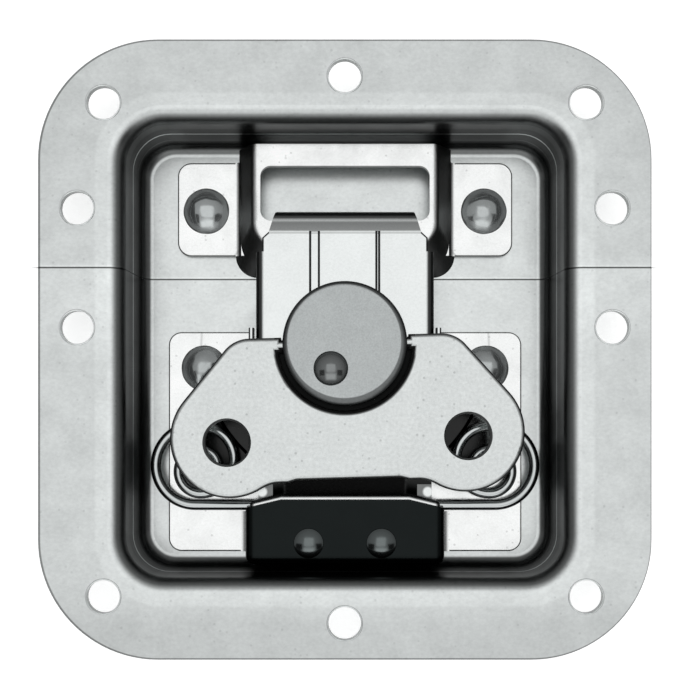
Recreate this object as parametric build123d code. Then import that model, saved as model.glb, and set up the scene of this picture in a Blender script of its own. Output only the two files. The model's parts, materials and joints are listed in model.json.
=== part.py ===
from build123d import *

import os
from math import acos, atan2, cos, degrees, hypot, radians, sin, tan

# Recessed butterfly case latch, lying on its back: X across the latch, +Y towards the lid
# half and its strike, +Z out of the case. Z = 0 is the back of the dish. Lengths in mm.

# ---- Driving dimensions ----

# Pressed dish, cut across into a lid half and a base half
FLANGE_WIDTH = 110.0
FLANGE_HEIGHT = 111.2
FLANGE_CORNER_R = 21.5
DISH_SHEET = 1.2
DISH_DEPTH = 15.2            # back of the floor to the face of the flange
FLOOR_WIDTH = 77.6           # between the walls' feet, before the bends
FLOOR_HEIGHT = 80.2
FLOOR_CORNER_R = 6.4
WALL_DRAFT = 5.0             # degrees from upright
FLOOR_BEND_R = 2.0
MOUTH_BEND_R = 2.8
SEAM_Y = 14.7
SEAM_GAP = 0.06

# Holes in the flange, measured in from the middle of its flat land
FIXING_HOLE_R = 2.95
CORNER_HOLE_IN_X = 5.49
CORNER_HOLE_IN_Y = 5.44
SIDE_HOLE_IN = 0.79
SIDE_HOLE_FROM_SEAM = 10.7
END_HOLE_IN = 0.64

# Plates riveted to the floor, and their round-headed rivets
PLATE_SHEET = 1.2
PLATE_EDGE_R = 0.3
RIVET_HEAD_R = 4.4
RIVET_HEAD_RISE = 2.1
RIVET_SHANK_R = 2.0
RIVET_TAIL_R = 3.0
RIVET_TAIL_DEPTH = 0.9

# Strike plate on the lid half: two ears and a raised bridge with a slot
STRIKE_WALL_GAP = 0.8        # from its far edge to the dish's wall
STRIKE_EAR_WIDTH = 64.2
STRIKE_EAR_SETBACK = 2.4     # of the ears behind the bridge's far edge
STRIKE_EAR_LENGTH = 17.9
STRIKE_EAR_CORNER_R = 2.6
STRIKE_RIVET_X = 26.6
STRIKE_RIVET_IN = 9.3        # from the ears' far edge
BRIDGE_LENGTH = 24.3
BRIDGE_FOOT_WIDTH = 42.2     # where its sides would reach the floor
BRIDGE_FOOT_CORNER_R = 4.3
BRIDGE_RISE = 4.35           # above the ears
BRIDGE_TOP_WIDTH = 34.5
BRIDGE_TOP_SETBACK = 4.4     # of the top behind the foot at the apron
BRIDGE_TOP_CORNER_R = 6.0
BRIDGE_BEND_R = 1.6
BRIDGE_FOOT_BEND_R = 1.4
SLOT_WIDTH = 31.8
SLOT_BAR = 4.1               # width of the bar beyond the slot
SLOT_CORNER_R = 2.0

# Base plate on the base half: two ears and a raised hood over the hinge
HOOD_WALL_GAP = 1.4          # from the hood's rear to the dish's wall
BASE_SIDE_GAP = 4.95         # from each ear to the dish's wall
BASE_LENGTH = 42.05
BASE_SETBACK = 1.1           # of the ears' near edge ahead of the hood's rear
BASE_CORNER_R = 2.5
BASE_RIVET_IN_X = 6.85       # from the ears' outer and far edges
BASE_RIVET_IN_Y = 6.95
HOOD_WIDTH = 35.6
HOOD_LENGTH = 12.4
HOOD_RISE = 5.7              # above the ears
HOOD_BEND_R = 1.0
HOOD_FOOT_R = 2.2
HOOD_EDGE_WIDTH = 24.0       # straight part of its edge, between the bevelled corners
HOOD_EDGE_BEVEL = 1.4
HOOD_EDGE_R = 0.9

# Black cover riveted over the hood
COVER_SHEET = 0.8
COVER_SETBACK = 1.0          # of its edge behind the hood's
COVER_FOOT_GAP = 0.1         # from its skirts to the bends at the hood's foot
COVER_RIVET_X = 6.75
COVER_RIVET_IN = 3.3         # from the hood's rear
COVER_RIVET_HEAD_R = 2.8
COVER_RIVET_HEAD_RISE = 1.0
COVER_RIVET_SHANK_R = 1.5
COVER_RIVET_TAIL_R = 1.9
COVER_RIVET_TAIL_RISE = 0.6

# Wire spring: one wire whose middle is the hinge axle and whose ends are flat coils
WIRE_R = 1.0
WIRE_LIFT = 0.5              # of the wire above the ears
COIL_WALL_GAP = 1.8          # from the outer turn to the dish's wall
COIL_R = 7.5                 # of the wire's centre line in the outer turn
COIL_SECOND_R = 6.4
COIL_THIRD_R = 4.15
COIL_END_R = 3.2
COIL_SHIFT = 1.0             # of the inner turns towards the middle
AXLE_SETBACK = 2.3           # of the axle behind the hood's edge
WIRE_END_BEND_R = 1.7
WIRE_HOLE_CLEARANCE = 0.1

# Carrier: channel that hinges on the wire and carries the turret
CARRIER_SHEET = 1.0
CARRIER_WALL_RISE = 1.7      # above the web
CARRIER_WALL_EDGE_R = 0.4
CARRIER_WALL_BEYOND = 3.2    # past the turret's axis
CARRIER_WALL_FROM_AXLE = 8.6
CARRIER_TONGUE_WIDTH = 26.0
CARRIER_TONGUE_BEYOND = 11.1
KNUCKLE_WIDTH = 2.7
KNUCKLE_FLAT = 4.0           # from the axle to the foot of the arm's ramp
RAMP_LENGTH = 7.1            # from the axle to the ramps' top
RAMP_END = 1.4               # of the ramp between the arms, from the axle
RAMP_DROP = 2.2
HINGE_CLEARANCE = 0.05

# Hook plate: slides on the carrier, its lip reaching through the strike's slot
HOOK_SHEET = 1.2
HOOK_LIFT = 0.75             # of its underside above the strike's bridge
HOOK_WIDTH = 33.2
HOOK_ROLL_R = 1.7            # of its sides, rolled down
HOOK_HEAD_WIDTH = 30.8
HOOK_HEAD_SETBACK = 16.7     # of its crease behind the strike's far edge
HOOK_HEAD_LENGTH = 3.8
HOOK_HEAD_BEVEL = 1.2
HOOK_HEAD_EDGE_R = 0.4
HOOK_TAIL = 13.6             # behind the turret's axis
LIP_ROOT_WIDTH = 28.2
LIP_TIP_WIDTH = 25.6
LIP_SLOPE = 10.0             # degrees below level, up to the curl
LIP_RUN = 2.15
LIP_CURL_R = 1.0             # inside
LIP_CURL_SLOPE = 76.0        # degrees below level, past the curl
LIP_STRAIGHT = 2.1
LIP_GRIP_GAP = 0.45          # from the curl to the strike's bar
LIP_BEND_R = 1.2
GROOVE_DEPTH = 0.3           # of the two pressed lines
GROOVE_SIDE = 0.42           # width of each sloped side
GROOVE_LEFT_X = -5.65
GROOVE_LEFT_FLAT = 1.2
GROOVE_RIGHT_X = 6.1
GROOVE_RIGHT_FLAT = 0.1
GROOVE_FROM_TURRET = 9.0

# Turret: cast disc with its spindle, turned by the handle
TURRET_Y = 1.4
DISC_R = 11.4
DISC_HEIGHT = 3.9
DISC_EDGE_R = 1.0
SPINDLE_R = 1.8
SPINDLE_GROOVE_R = 1.3
SPINDLE_END = 0.5            # beyond its retaining ring
CRANK_X = -2.54              # crank rivet from the turret's axis, in the locked position
CRANK_Y = -4.61
CRANK_HEAD_R = 3.15
CRANK_HEAD_RISE = 1.6
CRANK_SHANK_R = 1.6
CRANK_CAM_R = 2.6
CRANK_CAM_GAP = 0.1          # from the underside of the hook plate's level
TURRET_TURN = 150.0          # degrees from locked to open
HANDLE_REST_TURN = 1.6       # degrees, how far the locked handle stands off square
TURRET_RIM_HEIGHT = 0.9      # of the rim below the handle's notch

# Washer and ring that hold the turret in the carrier
WASHER_R = 4.2
WASHER_SHEET = 0.8
RING_R = 3.4
RING_SHEET = 0.6
RING_GAP = 0.1
RING_OPENING = 2.2

# Butterfly handle, measured from the turret's axis
HANDLE_SHEET = 1.8
HANDLE_LIFT = 1.2            # of its underside above the disc's
HANDLE_EDGE_R = 0.8
SHOULDER_Y = 1.45
SHOULDER_WIDTH = 40.6
SHOULDER_R = 6.0
LOBE_X = 21.6
LOBE_Y = -16.8
LOBE_R = 10.9
WAIST_Y = -25.2
WAIST_R = 6.0
WING_HOLE_X = 22.06
WING_HOLE_Y = -17.5
WING_HOLE_R = 4.1
WING_HOLE_BEVEL = 0.35
NOTCH_R = 12.5
LUG_NEAR_Y = -1.2
WAIST_RECESS_WIDTH = 20.6
WAIST_RECESS = 0.45
WAIST_RECESS_RUN = 1.6
WAIST_RECESS_R = 1.5
TRUNNION_R = 0.9
TRUNNION_LENGTH = 2.9

# Gaps
MOVING_GAP = 0.3             # between pieces that slide or turn past each other
SPINDLE_FIT = 0.05           # radial, of a round pin in its bore
CUT = 1.0                    # how far a cutting solid runs past a face
SAME = 0.01                  # two places closer than this are one place
MIDDLE = 0.5                 # of an edge, as a share of its length

# ---- Levels and sizes that follow from them ----

FLOOR_Z = DISH_SHEET
EAR_TOP_Z = FLOOR_Z + PLATE_SHEET
BRIDGE_TOP_Z = EAR_TOP_Z + BRIDGE_RISE
HOOK_UNDERSIDE_Z = BRIDGE_TOP_Z + HOOK_LIFT
HOOK_TOP_Z = HOOK_UNDERSIDE_Z + HOOK_SHEET
CARRIER_WEB_TOP_Z = HOOK_UNDERSIDE_Z - MOVING_GAP
CARRIER_WEB_Z = CARRIER_WEB_TOP_Z - CARRIER_SHEET
CARRIER_WALL_TOP_Z = CARRIER_WEB_TOP_Z + CARRIER_WALL_RISE
DISC_BOTTOM_Z = HOOK_TOP_Z + MOVING_GAP
DISC_TOP_Z = DISC_BOTTOM_Z + DISC_HEIGHT
HANDLE_UNDERSIDE_Z = DISC_BOTTOM_Z + HANDLE_LIFT
HANDLE_TOP_Z = HANDLE_UNDERSIDE_Z + HANDLE_SHEET
FOLD_Z = HANDLE_UNDERSIDE_Z + HANDLE_SHEET / 2
HOOD_TOP_Z = EAR_TOP_Z + HOOD_RISE
COVER_TOP_Z = HOOD_TOP_Z + COVER_SHEET
AXLE_Z = EAR_TOP_Z + WIRE_LIFT + WIRE_R

BRIDGE_FAR_Y = FLOOR_HEIGHT / 2 - STRIKE_WALL_GAP
BRIDGE_SIDE_SLOPE = atan2((BRIDGE_FOOT_WIDTH - BRIDGE_TOP_WIDTH) / 2, BRIDGE_TOP_Z - FLOOR_Z)
STRIKE_EAR_FAR_Y = BRIDGE_FAR_Y - STRIKE_EAR_SETBACK
STRIKE_EAR_NEAR_Y = STRIKE_EAR_FAR_Y - STRIKE_EAR_LENGTH
STRIKE_RIVET_Y = STRIKE_EAR_FAR_Y - STRIKE_RIVET_IN
SLOT_FAR_Y = BRIDGE_FAR_Y - SLOT_BAR
HOOK_HEAD_Y = BRIDGE_FAR_Y - HOOK_HEAD_SETBACK
HOOK_SHOULDER_Y = HOOK_HEAD_Y - HOOK_HEAD_LENGTH
HOOK_NEAR_Y = TURRET_Y - HOOK_TAIL
HOOD_REAR_Y = HOOD_WALL_GAP - FLOOR_HEIGHT / 2
HOOD_EDGE_Y = HOOD_REAR_Y + HOOD_LENGTH
BASE_WIDTH = FLOOR_WIDTH - 2 * BASE_SIDE_GAP
BASE_NEAR_Y = HOOD_REAR_Y + BASE_SETBACK
BASE_FAR_Y = BASE_NEAR_Y + BASE_LENGTH
BASE_RIVET_X = BASE_WIDTH / 2 - BASE_RIVET_IN_X
BASE_RIVET_Y = BASE_FAR_Y - BASE_RIVET_IN_Y
COVER_RIVET_Y = HOOD_REAR_Y + COVER_RIVET_IN
AXLE_Y = HOOD_EDGE_Y - AXLE_SETBACK
COIL_X = FLOOR_WIDTH / 2 - COIL_WALL_GAP - WIRE_R - COIL_R
CARRIER_WALL_FAR_Y = TURRET_Y + CARRIER_WALL_BEYOND
CARRIER_WALL_NEAR_Y = AXLE_Y + CARRIER_WALL_FROM_AXLE
CARRIER_TONGUE_FAR_Y = TURRET_Y + CARRIER_TONGUE_BEYOND
RAMP_TOP_Y = AXLE_Y + RAMP_LENGTH
KNUCKLE_INNER_X = HOOD_WIDTH / 2 - PLATE_SHEET - MOVING_GAP - KNUCKLE_WIDTH

MOUTH_TANGENT = MOUTH_BEND_R * tan(radians((90 - WALL_DRAFT) / 2))
MOUTH_SPREAD = (DISH_DEPTH - FLOOR_Z) * tan(radians(WALL_DRAFT)) + MOUTH_TANGENT
LAND_X = (FLANGE_WIDTH + FLOOR_WIDTH) / 4 + MOUTH_SPREAD / 2    # middle of the flange's land
LAND_Y = (FLANGE_HEIGHT + FLOOR_HEIGHT) / 4 + MOUTH_SPREAD / 2
CORNER_HOLE_X = LAND_X - CORNER_HOLE_IN_X
CORNER_HOLE_Y = LAND_Y - CORNER_HOLE_IN_Y
SIDE_HOLE_X = LAND_X - SIDE_HOLE_IN
END_HOLE_Y = LAND_Y - END_HOLE_IN

CRANK_THROW = hypot(CRANK_X, CRANK_Y)
CRANK_REST = degrees(atan2(-CRANK_X, -CRANK_Y))   # back from its nearest point to the hinge


def crank_travel(turn):
    """How far the crank rivet has moved towards +Y after a turn of the turret."""
    return CRANK_THROW * (cos(radians(CRANK_REST)) - cos(radians(turn - CRANK_REST)))


HOOK_TRAVEL = crank_travel(TURRET_TURN)
# The hook plate's travel is taken as even over the turn, so its window leaves room for the
# difference from the crank rivet's true path.
CRANK_LAG = max(
    HOOK_TRAVEL * turn / TURRET_TURN - crank_travel(turn) for turn in range(int(TURRET_TURN))
)


# ---- Shared shapes ----

def slab(sketch, low_z, height):
    """A flat plate from a plan outline."""
    return Pos(0, 0, low_z) * extrude(sketch, amount=height)


def block(x_range, y_range, z_range):
    """An upright block between three pairs of limits."""
    size = [high - low for low, high in (x_range, y_range, z_range)]
    centre = [(high + low) / 2 for low, high in (x_range, y_range, z_range)]
    return Pos(*centre) * Box(*size)


def plan_rectangle(width, near_y, far_y, corner_r):
    """A rounded rectangle across X = 0 between two Y limits."""
    return Pos(0, (near_y + far_y) / 2) * RectangleRounded(width, far_y - near_y, corner_r)


def cylinder_up(radius, low_z, high_z, x=0.0, y=0.0):
    """A round bar standing at x, y."""
    return Pos(x, y, (low_z + high_z) / 2) * Cylinder(radius, high_z - low_z)


def edges_at(solid, z):
    """The edges of a solid that lie in the plane at height z."""
    return solid.edges().filter_by_position(Axis.Z, z - SAME, z + SAME)


def domed_rivet(head_r, head_rise, shank_r, seat_z, tail_z, tail_r, tail_rise):
    """A rivet with a ball-shaped head above seat_z and a flared tail that ends at tail_z."""
    outline = Line((0, tail_z), (tail_r, tail_z))
    outline += Line((tail_r, tail_z), (shank_r, tail_z + tail_rise))
    outline += Line((shank_r, tail_z + tail_rise), (shank_r, seat_z))
    outline += Line((shank_r, seat_z), (head_r, seat_z))
    outline += RadiusArc((head_r, seat_z), (0, seat_z + head_rise), -dome_radius(head_r, head_rise))
    outline += Line((0, seat_z + head_rise), (0, tail_z))
    return revolve(Plane.XZ * make_face(outline), Axis.Z)


def dome_radius(head_r, head_rise):
    """The ball radius of a head with this rim radius and rise."""
    return (head_r**2 + head_rise**2) / (2 * head_rise)


# ---- Dish halves ----

def pressed_dish():
    """The whole dish before it is cut: flange, drafted walls, floor and its bends."""
    flange_back = DISH_DEPTH - DISH_SHEET
    draft = radians(WALL_DRAFT)
    wall_step = DISH_SHEET / cos(draft) - DISH_SHEET * tan(draft)
    flange = slab(RectangleRounded(FLANGE_WIDTH, FLANGE_HEIGHT, FLANGE_CORNER_R), flange_back, DISH_SHEET)
    shell = extrude(
        RectangleRounded(
            FLOOR_WIDTH + 2 * wall_step, FLOOR_HEIGHT + 2 * wall_step, FLOOR_CORNER_R + wall_step
        ),
        amount=flange_back,
        taper=-WALL_DRAFT,
    )
    pocket = Pos(0, 0, FLOOR_Z) * extrude(
        RectangleRounded(FLOOR_WIDTH, FLOOR_HEIGHT, FLOOR_CORNER_R),
        amount=DISH_DEPTH - FLOOR_Z,
        taper=-WALL_DRAFT,
    )
    dish = flange + shell - pocket
    dish = fillet(edges_at(dish, FLOOR_Z), FLOOR_BEND_R)
    dish = fillet(edges_at(dish, 0), FLOOR_BEND_R + DISH_SHEET)
    dish = fillet(inside_flange(edges_at(dish, DISH_DEPTH)), MOUTH_BEND_R)
    dish = fillet(inside_flange(edges_at(dish, flange_back)), MOUTH_BEND_R - DISH_SHEET)
    return dish - fixing_holes() - rivet_bores()


def inside_flange(edges):
    """The edges of the mouth, without those of the flange's outer outline."""
    def in_mouth(edge):
        middle = edge.position_at(MIDDLE)
        return abs(middle.X) < (FLANGE_WIDTH + FLOOR_WIDTH) / 4 and abs(middle.Y) < (
            FLANGE_HEIGHT + FLOOR_HEIGHT
        ) / 4

    return edges.filter_by(in_mouth)


def fixing_hole_places():
    """Centres of the holes that fix the flange to the case."""
    corners = [(sx * CORNER_HOLE_X, sy * CORNER_HOLE_Y) for sx in (-1, 1) for sy in (-1, 1)]
    sides = [
        (sx * SIDE_HOLE_X, SEAM_Y + sy * SIDE_HOLE_FROM_SEAM) for sx in (-1, 1) for sy in (-1, 1)
    ]
    ends = [(0, -END_HOLE_Y), (0, END_HOLE_Y)]
    return corners + sides + ends


def fixing_holes():
    """Cutters for the flange's holes."""
    return [
        cylinder_up(FIXING_HOLE_R, DISH_DEPTH - DISH_SHEET - CUT, DISH_DEPTH + CUT, x, y)
        for x, y in fixing_hole_places()
    ]


def plate_rivet_places():
    """Centres of the four rivets that hold the plates to the floor."""
    return [
        (side * x, y) for x, y in ((STRIKE_RIVET_X, STRIKE_RIVET_Y), (BASE_RIVET_X, BASE_RIVET_Y))
        for side in (-1, 1)
    ]


def plate_rivet():
    """One rivet through a plate and the floor, flush at the back, on the Z axis."""
    return domed_rivet(
        RIVET_HEAD_R, RIVET_HEAD_RISE, RIVET_SHANK_R, EAR_TOP_Z, 0, RIVET_TAIL_R, RIVET_TAIL_DEPTH
    )


def rivet_bores():
    """Cutters for the rivets' countersunk holes in the floor."""
    bore = plate_rivet() & cylinder_up(RIVET_HEAD_R, 0, FLOOR_Z)
    return [Pos(x, y, 0) * bore for x, y in plate_rivet_places()]


def lid_dish(dish):
    """The half of the dish on the lid's side of the seam."""
    return dish & block(
        (-FLANGE_WIDTH, FLANGE_WIDTH), (SEAM_Y + SEAM_GAP / 2, FLANGE_HEIGHT), (-CUT, DISH_DEPTH + CUT)
    )


def base_dish(dish):
    """The half of the dish on the base's side of the seam."""
    return dish & block(
        (-FLANGE_WIDTH, FLANGE_WIDTH), (-FLANGE_HEIGHT, SEAM_Y - SEAM_GAP / 2), (-CUT, DISH_DEPTH + CUT)
    )


# ---- Strike plate ----

def bridge_outline(z, inset):
    """Plan of the bridge's outer faces at a height, drawn in by inset."""
    up = (z - FLOOR_Z) / (BRIDGE_TOP_Z - FLOOR_Z)
    width = BRIDGE_FOOT_WIDTH + up * (BRIDGE_TOP_WIDTH - BRIDGE_FOOT_WIDTH) - 2 * inset
    length = 2 * (BRIDGE_LENGTH - up * BRIDGE_TOP_SETBACK - inset)
    corner_r = BRIDGE_FOOT_CORNER_R + up * (BRIDGE_TOP_CORNER_R - BRIDGE_FOOT_CORNER_R) - inset
    return Pos(0, BRIDGE_FAR_Y, z) * RectangleRounded(width, length, corner_r)


def bridge_block(low_z, top_z, inset, bend_r, far_y):
    """The raised bridge as a solid, its faces drawn in by inset."""
    block_up = loft([bridge_outline(low_z, inset), bridge_outline(top_z, inset)], ruled=True)
    rounded = fillet(edges_at(block_up, top_z), bend_r)
    return rounded & block((-FLOOR_WIDTH, FLOOR_WIDTH), (0, far_y), (low_z, DISH_DEPTH))


def bridge_foot_bend(side):
    """The hollow bend where one sloped side of the bridge runs out into its ear."""
    foot_x = BRIDGE_FOOT_WIDTH / 2 - PLATE_SHEET * tan(BRIDGE_SIDE_SLOPE)
    tangent = BRIDGE_FOOT_BEND_R * tan((radians(90) - BRIDGE_SIDE_SLOPE) / 2)
    up_x = foot_x - tangent * sin(BRIDGE_SIDE_SLOPE)
    up_z = EAR_TOP_Z + tangent * cos(BRIDGE_SIDE_SLOPE)
    overlap = PLATE_SHEET / 2
    corner = make_face(
        Polyline(
            (side * (foot_x - overlap), EAR_TOP_Z - overlap),
            (side * (foot_x + tangent), EAR_TOP_Z - overlap),
            (side * (foot_x + tangent), EAR_TOP_Z + BRIDGE_FOOT_BEND_R),
            (side * up_x, up_z),
            (side * (up_x - overlap), up_z),
            close=True,
        )
    )
    section = corner - Pos(side * (foot_x + tangent), EAR_TOP_Z + BRIDGE_FOOT_BEND_R) * Circle(
        BRIDGE_FOOT_BEND_R
    )
    return Pos(0, STRIKE_EAR_FAR_Y, 0) * extrude(Plane.XZ * section, amount=STRIKE_EAR_LENGTH)


def strike_plate():
    """Pressed strike: two ears and a slotted bridge whose near bar the hook's lip grips."""
    ears = plan_rectangle(STRIKE_EAR_WIDTH, STRIKE_EAR_NEAR_Y, STRIKE_EAR_FAR_Y, STRIKE_EAR_CORNER_R)
    sheet = slab(ears, FLOOR_Z, PLATE_SHEET)
    sheet = fillet(edges_at(sheet, EAR_TOP_Z), PLATE_EDGE_R)
    solid = sheet + bridge_block(FLOOR_Z, BRIDGE_TOP_Z, 0, BRIDGE_BEND_R, BRIDGE_FAR_Y)
    solid += bridge_foot_bend(-1) + bridge_foot_bend(1)
    solid -= block((-FLOOR_WIDTH, FLOOR_WIDTH), (STRIKE_EAR_FAR_Y, BRIDGE_FAR_Y + CUT), (0, EAR_TOP_Z))
    solid -= bridge_block(
        FLOOR_Z - CUT, BRIDGE_TOP_Z - PLATE_SHEET, PLATE_SHEET / cos(BRIDGE_SIDE_SLOPE),
        BRIDGE_BEND_R / 2, BRIDGE_FAR_Y + CUT,
    )
    slot_near_y = on_curl(LIP_CURL_R, LIP_CURL_SLOPE)[0] - LIP_GRIP_GAP
    slot = plan_rectangle(SLOT_WIDTH, slot_near_y, SLOT_FAR_Y, SLOT_CORNER_R)
    solid -= slab(slot, BRIDGE_TOP_Z - PLATE_SHEET - CUT, PLATE_SHEET + 2 * CUT)
    for side in (-1, 1):
        solid -= cylinder_up(RIVET_SHANK_R, 0, DISH_DEPTH, side * STRIKE_RIVET_X, STRIKE_RIVET_Y)
    return solid


# ---- Base plate, hood and cover ----

def bevelled_edge(width, edge_y, rear_y):
    """Plan outline of a hood whose edge corners are cut back."""
    half = width / 2
    straight = HOOD_EDGE_WIDTH / 2
    side_y = edge_y - HOOD_EDGE_BEVEL * (half - straight) / (HOOD_WIDTH / 2 - straight)
    return make_face(
        Polyline(
            (-straight, edge_y), (straight, edge_y), (half, side_y), (half, rear_y), (-half, rear_y),
            (-half, side_y), close=True,
        )
    )


def hood_block(width, edge_y, rear_y, low_z, top_z, bend_r):
    """A raised hood as a solid: rounded over both sides and the rear, open at its edge."""
    front_y = edge_y + width
    box = block((-width / 2, width / 2), (rear_y, front_y), (low_z, top_z))
    bends = edges_at(box, top_z).filter_by(lambda edge: edge.position_at(MIDDLE).Y < front_y - CUT)
    rear_corners = box.edges().filter_by(Axis.Z).group_by(Axis.Y)[0]
    box = fillet(bends + rear_corners, bend_r)
    return box & slab(bevelled_edge(width, edge_y, rear_y), low_z, top_z - low_z)


def wire_notch():
    """Cutter for the way of the wire into both sides of the hood and its cover."""
    half_width = HOOD_WIDTH / 2 + HOOD_FOOT_R + CUT
    radius = WIRE_R + MOVING_GAP
    slot = block((-half_width, half_width), (AXLE_Y, HOOD_EDGE_Y + CUT), (FLOOR_Z, AXLE_Z + radius))
    end = block(
        (-half_width, half_width), (AXLE_Y - radius, AXLE_Y), (FLOOR_Z, AXLE_Z)
    ) + Pos(0, AXLE_Y, AXLE_Z) * Rot(0, 90, 0) * Cylinder(radius, 2 * half_width)
    return slot + end


def hood_foot_bend(side):
    """The hollow bend where one side of the hood runs out into its ear."""
    centre_x = side * (HOOD_WIDTH / 2 + HOOD_FOOT_R)
    reach = HOOD_FOOT_R / 2
    corner = Pos(centre_x - side * reach, EAR_TOP_Z + reach) * Rectangle(HOOD_FOOT_R, HOOD_FOOT_R)
    section = corner - Pos(centre_x, EAR_TOP_Z + HOOD_FOOT_R) * Circle(HOOD_FOOT_R)
    length = HOOD_EDGE_Y - HOOD_EDGE_BEVEL - BASE_NEAR_Y
    return Pos(0, BASE_NEAR_Y + length, 0) * extrude(Plane.XZ * section, amount=length)


def raised_wire_notch():
    """The part of the wire's notch that lies above the plate's flat."""
    return wire_notch() & block(
        (-HOOD_WIDTH, HOOD_WIDTH), (HOOD_REAR_Y, HOOD_EDGE_Y + CUT), (EAR_TOP_Z, HOOD_TOP_Z)
    )


def base_plate():
    """Plate that carries the hinge: two ears, and a hood pressed up over the wire's middle."""
    outline = plan_rectangle(BASE_WIDTH, BASE_NEAR_Y, BASE_FAR_Y, BASE_CORNER_R)
    sheet = slab(outline, FLOOR_Z, PLATE_SHEET)
    sheet = fillet(edges_at(sheet, EAR_TOP_Z), PLATE_EDGE_R)
    hood = hood_block(HOOD_WIDTH, HOOD_EDGE_Y, HOOD_REAR_Y, EAR_TOP_Z, HOOD_TOP_Z, HOOD_BEND_R)
    hood_edges = edges_at(hood, HOOD_TOP_Z).filter_by(
        lambda edge: edge.position_at(MIDDLE).Y > HOOD_EDGE_Y - HOOD_EDGE_BEVEL
    )
    hood = fillet(hood_edges, HOOD_EDGE_R)
    inner_width = HOOD_WIDTH - 2 * PLATE_SHEET
    inner = block(
        (-inner_width / 2, inner_width / 2),
        (HOOD_REAR_Y + PLATE_SHEET, RAMP_TOP_Y),
        (-CUT, HOOD_TOP_Z - PLATE_SHEET),
    )
    plate = sheet + hood + hood_foot_bend(-1) + hood_foot_bend(1) - inner - raised_wire_notch()
    for side in (-1, 1):
        plate -= cylinder_up(RIVET_SHANK_R, 0, DISH_DEPTH, side * BASE_RIVET_X, BASE_RIVET_Y)
        plate -= cylinder_up(
            COVER_RIVET_SHANK_R, EAR_TOP_Z, DISH_DEPTH, side * COVER_RIVET_X, COVER_RIVET_Y
        )
        end_x, end_y = wire_end_place()
        plate -= cylinder_up(WIRE_R + WIRE_HOLE_CLEARANCE, 0, EAR_TOP_Z + CUT, side * end_x, end_y)
    return plate


def hood_cover():
    """Thin pressed cover that sits over the hood, its skirts down to the bends at the foot."""
    skirt_z = EAR_TOP_Z + HOOD_FOOT_R + COVER_FOOT_GAP
    width = HOOD_WIDTH + 2 * COVER_SHEET
    edge_y = HOOD_EDGE_Y - COVER_SETBACK
    rear_y = HOOD_REAR_Y - COVER_SHEET
    outer = hood_block(width, edge_y, rear_y, skirt_z, COVER_TOP_Z, HOOD_BEND_R + COVER_SHEET)
    inner = hood_block(HOOD_WIDTH, HOOD_EDGE_Y, HOOD_REAR_Y, EAR_TOP_Z, HOOD_TOP_Z, HOOD_BEND_R)
    cover = outer - inner - wire_notch()
    for side in (-1, 1):
        cover -= cylinder_up(
            COVER_RIVET_SHANK_R, EAR_TOP_Z, DISH_DEPTH, side * COVER_RIVET_X, COVER_RIVET_Y
        )
    return cover


def cover_rivet():
    """One rivet through the cover and the hood, on the Z axis."""
    hood_underside_z = HOOD_TOP_Z - PLATE_SHEET
    head = domed_rivet(
        COVER_RIVET_HEAD_R, COVER_RIVET_HEAD_RISE, COVER_RIVET_SHANK_R, COVER_TOP_Z,
        hood_underside_z, COVER_RIVET_SHANK_R, COVER_RIVET_TAIL_RISE,
    )
    tail_z = hood_underside_z - COVER_RIVET_TAIL_RISE
    tail = cylinder_up(COVER_RIVET_TAIL_R, tail_z, hood_underside_z)
    return head + fillet(edges_at(tail, tail_z), COVER_RIVET_TAIL_RISE / 2)


# ---- Wire spring ----

def wire_end_place():
    """Distance from the middle and Y of the wire's end, where it goes down into the plate."""
    last_top_y = AXLE_Y + 2 * (COIL_R - COIL_SECOND_R + COIL_THIRD_R)
    return COIL_X - COIL_SHIFT - COIL_END_R, last_top_y - COIL_END_R - WIRE_END_BEND_R


def half_turn(centre_x, low_y, radius, bulge):
    """Half a turn of the coil between low_y and the point above it, bulging towards +-X."""
    return ThreePointArc(
        (centre_x, low_y, AXLE_Z),
        (centre_x + bulge * radius, low_y + radius, AXLE_Z),
        (centre_x, low_y + 2 * radius, AXLE_Z),
    )


def half_wire(side):
    """Edges of one side's wire, from the axle's end in through the coil and down."""
    outer_x = side * COIL_X
    inner_x = side * (COIL_X - COIL_SHIFT)
    top_y = AXLE_Y + 2 * COIL_R
    low_y = top_y - 2 * COIL_SECOND_R
    last_y = low_y + 2 * COIL_THIRD_R
    end_x = side * wire_end_place()[0]
    end_y = wire_end_place()[1]
    eighth = sin(radians(45))
    bend_z = AXLE_Z - WIRE_END_BEND_R
    return [
        half_turn(outer_x, AXLE_Y, COIL_R, side),
        Line((outer_x, top_y, AXLE_Z), (inner_x, top_y, AXLE_Z)),
        half_turn(inner_x, low_y, COIL_SECOND_R, -side),
        half_turn(inner_x, low_y, COIL_THIRD_R, side),
        ThreePointArc(
            (inner_x, last_y, AXLE_Z),
            (inner_x - side * eighth * COIL_END_R, last_y - (1 - eighth) * COIL_END_R, AXLE_Z),
            (end_x, last_y - COIL_END_R, AXLE_Z),
        ),
        ThreePointArc(
            (end_x, end_y + WIRE_END_BEND_R, AXLE_Z),
            (end_x, end_y + (1 - eighth) * WIRE_END_BEND_R, bend_z + eighth * WIRE_END_BEND_R),
            (end_x, end_y, bend_z),
        ),
        Line((end_x, end_y, bend_z), (end_x, end_y, FLOOR_Z + WIRE_HOLE_CLEARANCE)),
    ]


def wire_spring():
    """One wire: hinge axle across the middle, a flat coil at each side, ends down in the plate."""
    axle = Line((-COIL_X, AXLE_Y, AXLE_Z), (COIL_X, AXLE_Y, AXLE_Z))
    path = Wire([axle] + half_wire(-1) + half_wire(1))
    section = Plane(origin=path @ 0, z_dir=path % 0) * Circle(WIRE_R)
    return sweep(section, path=path)


# ---- Carrier ----

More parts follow.
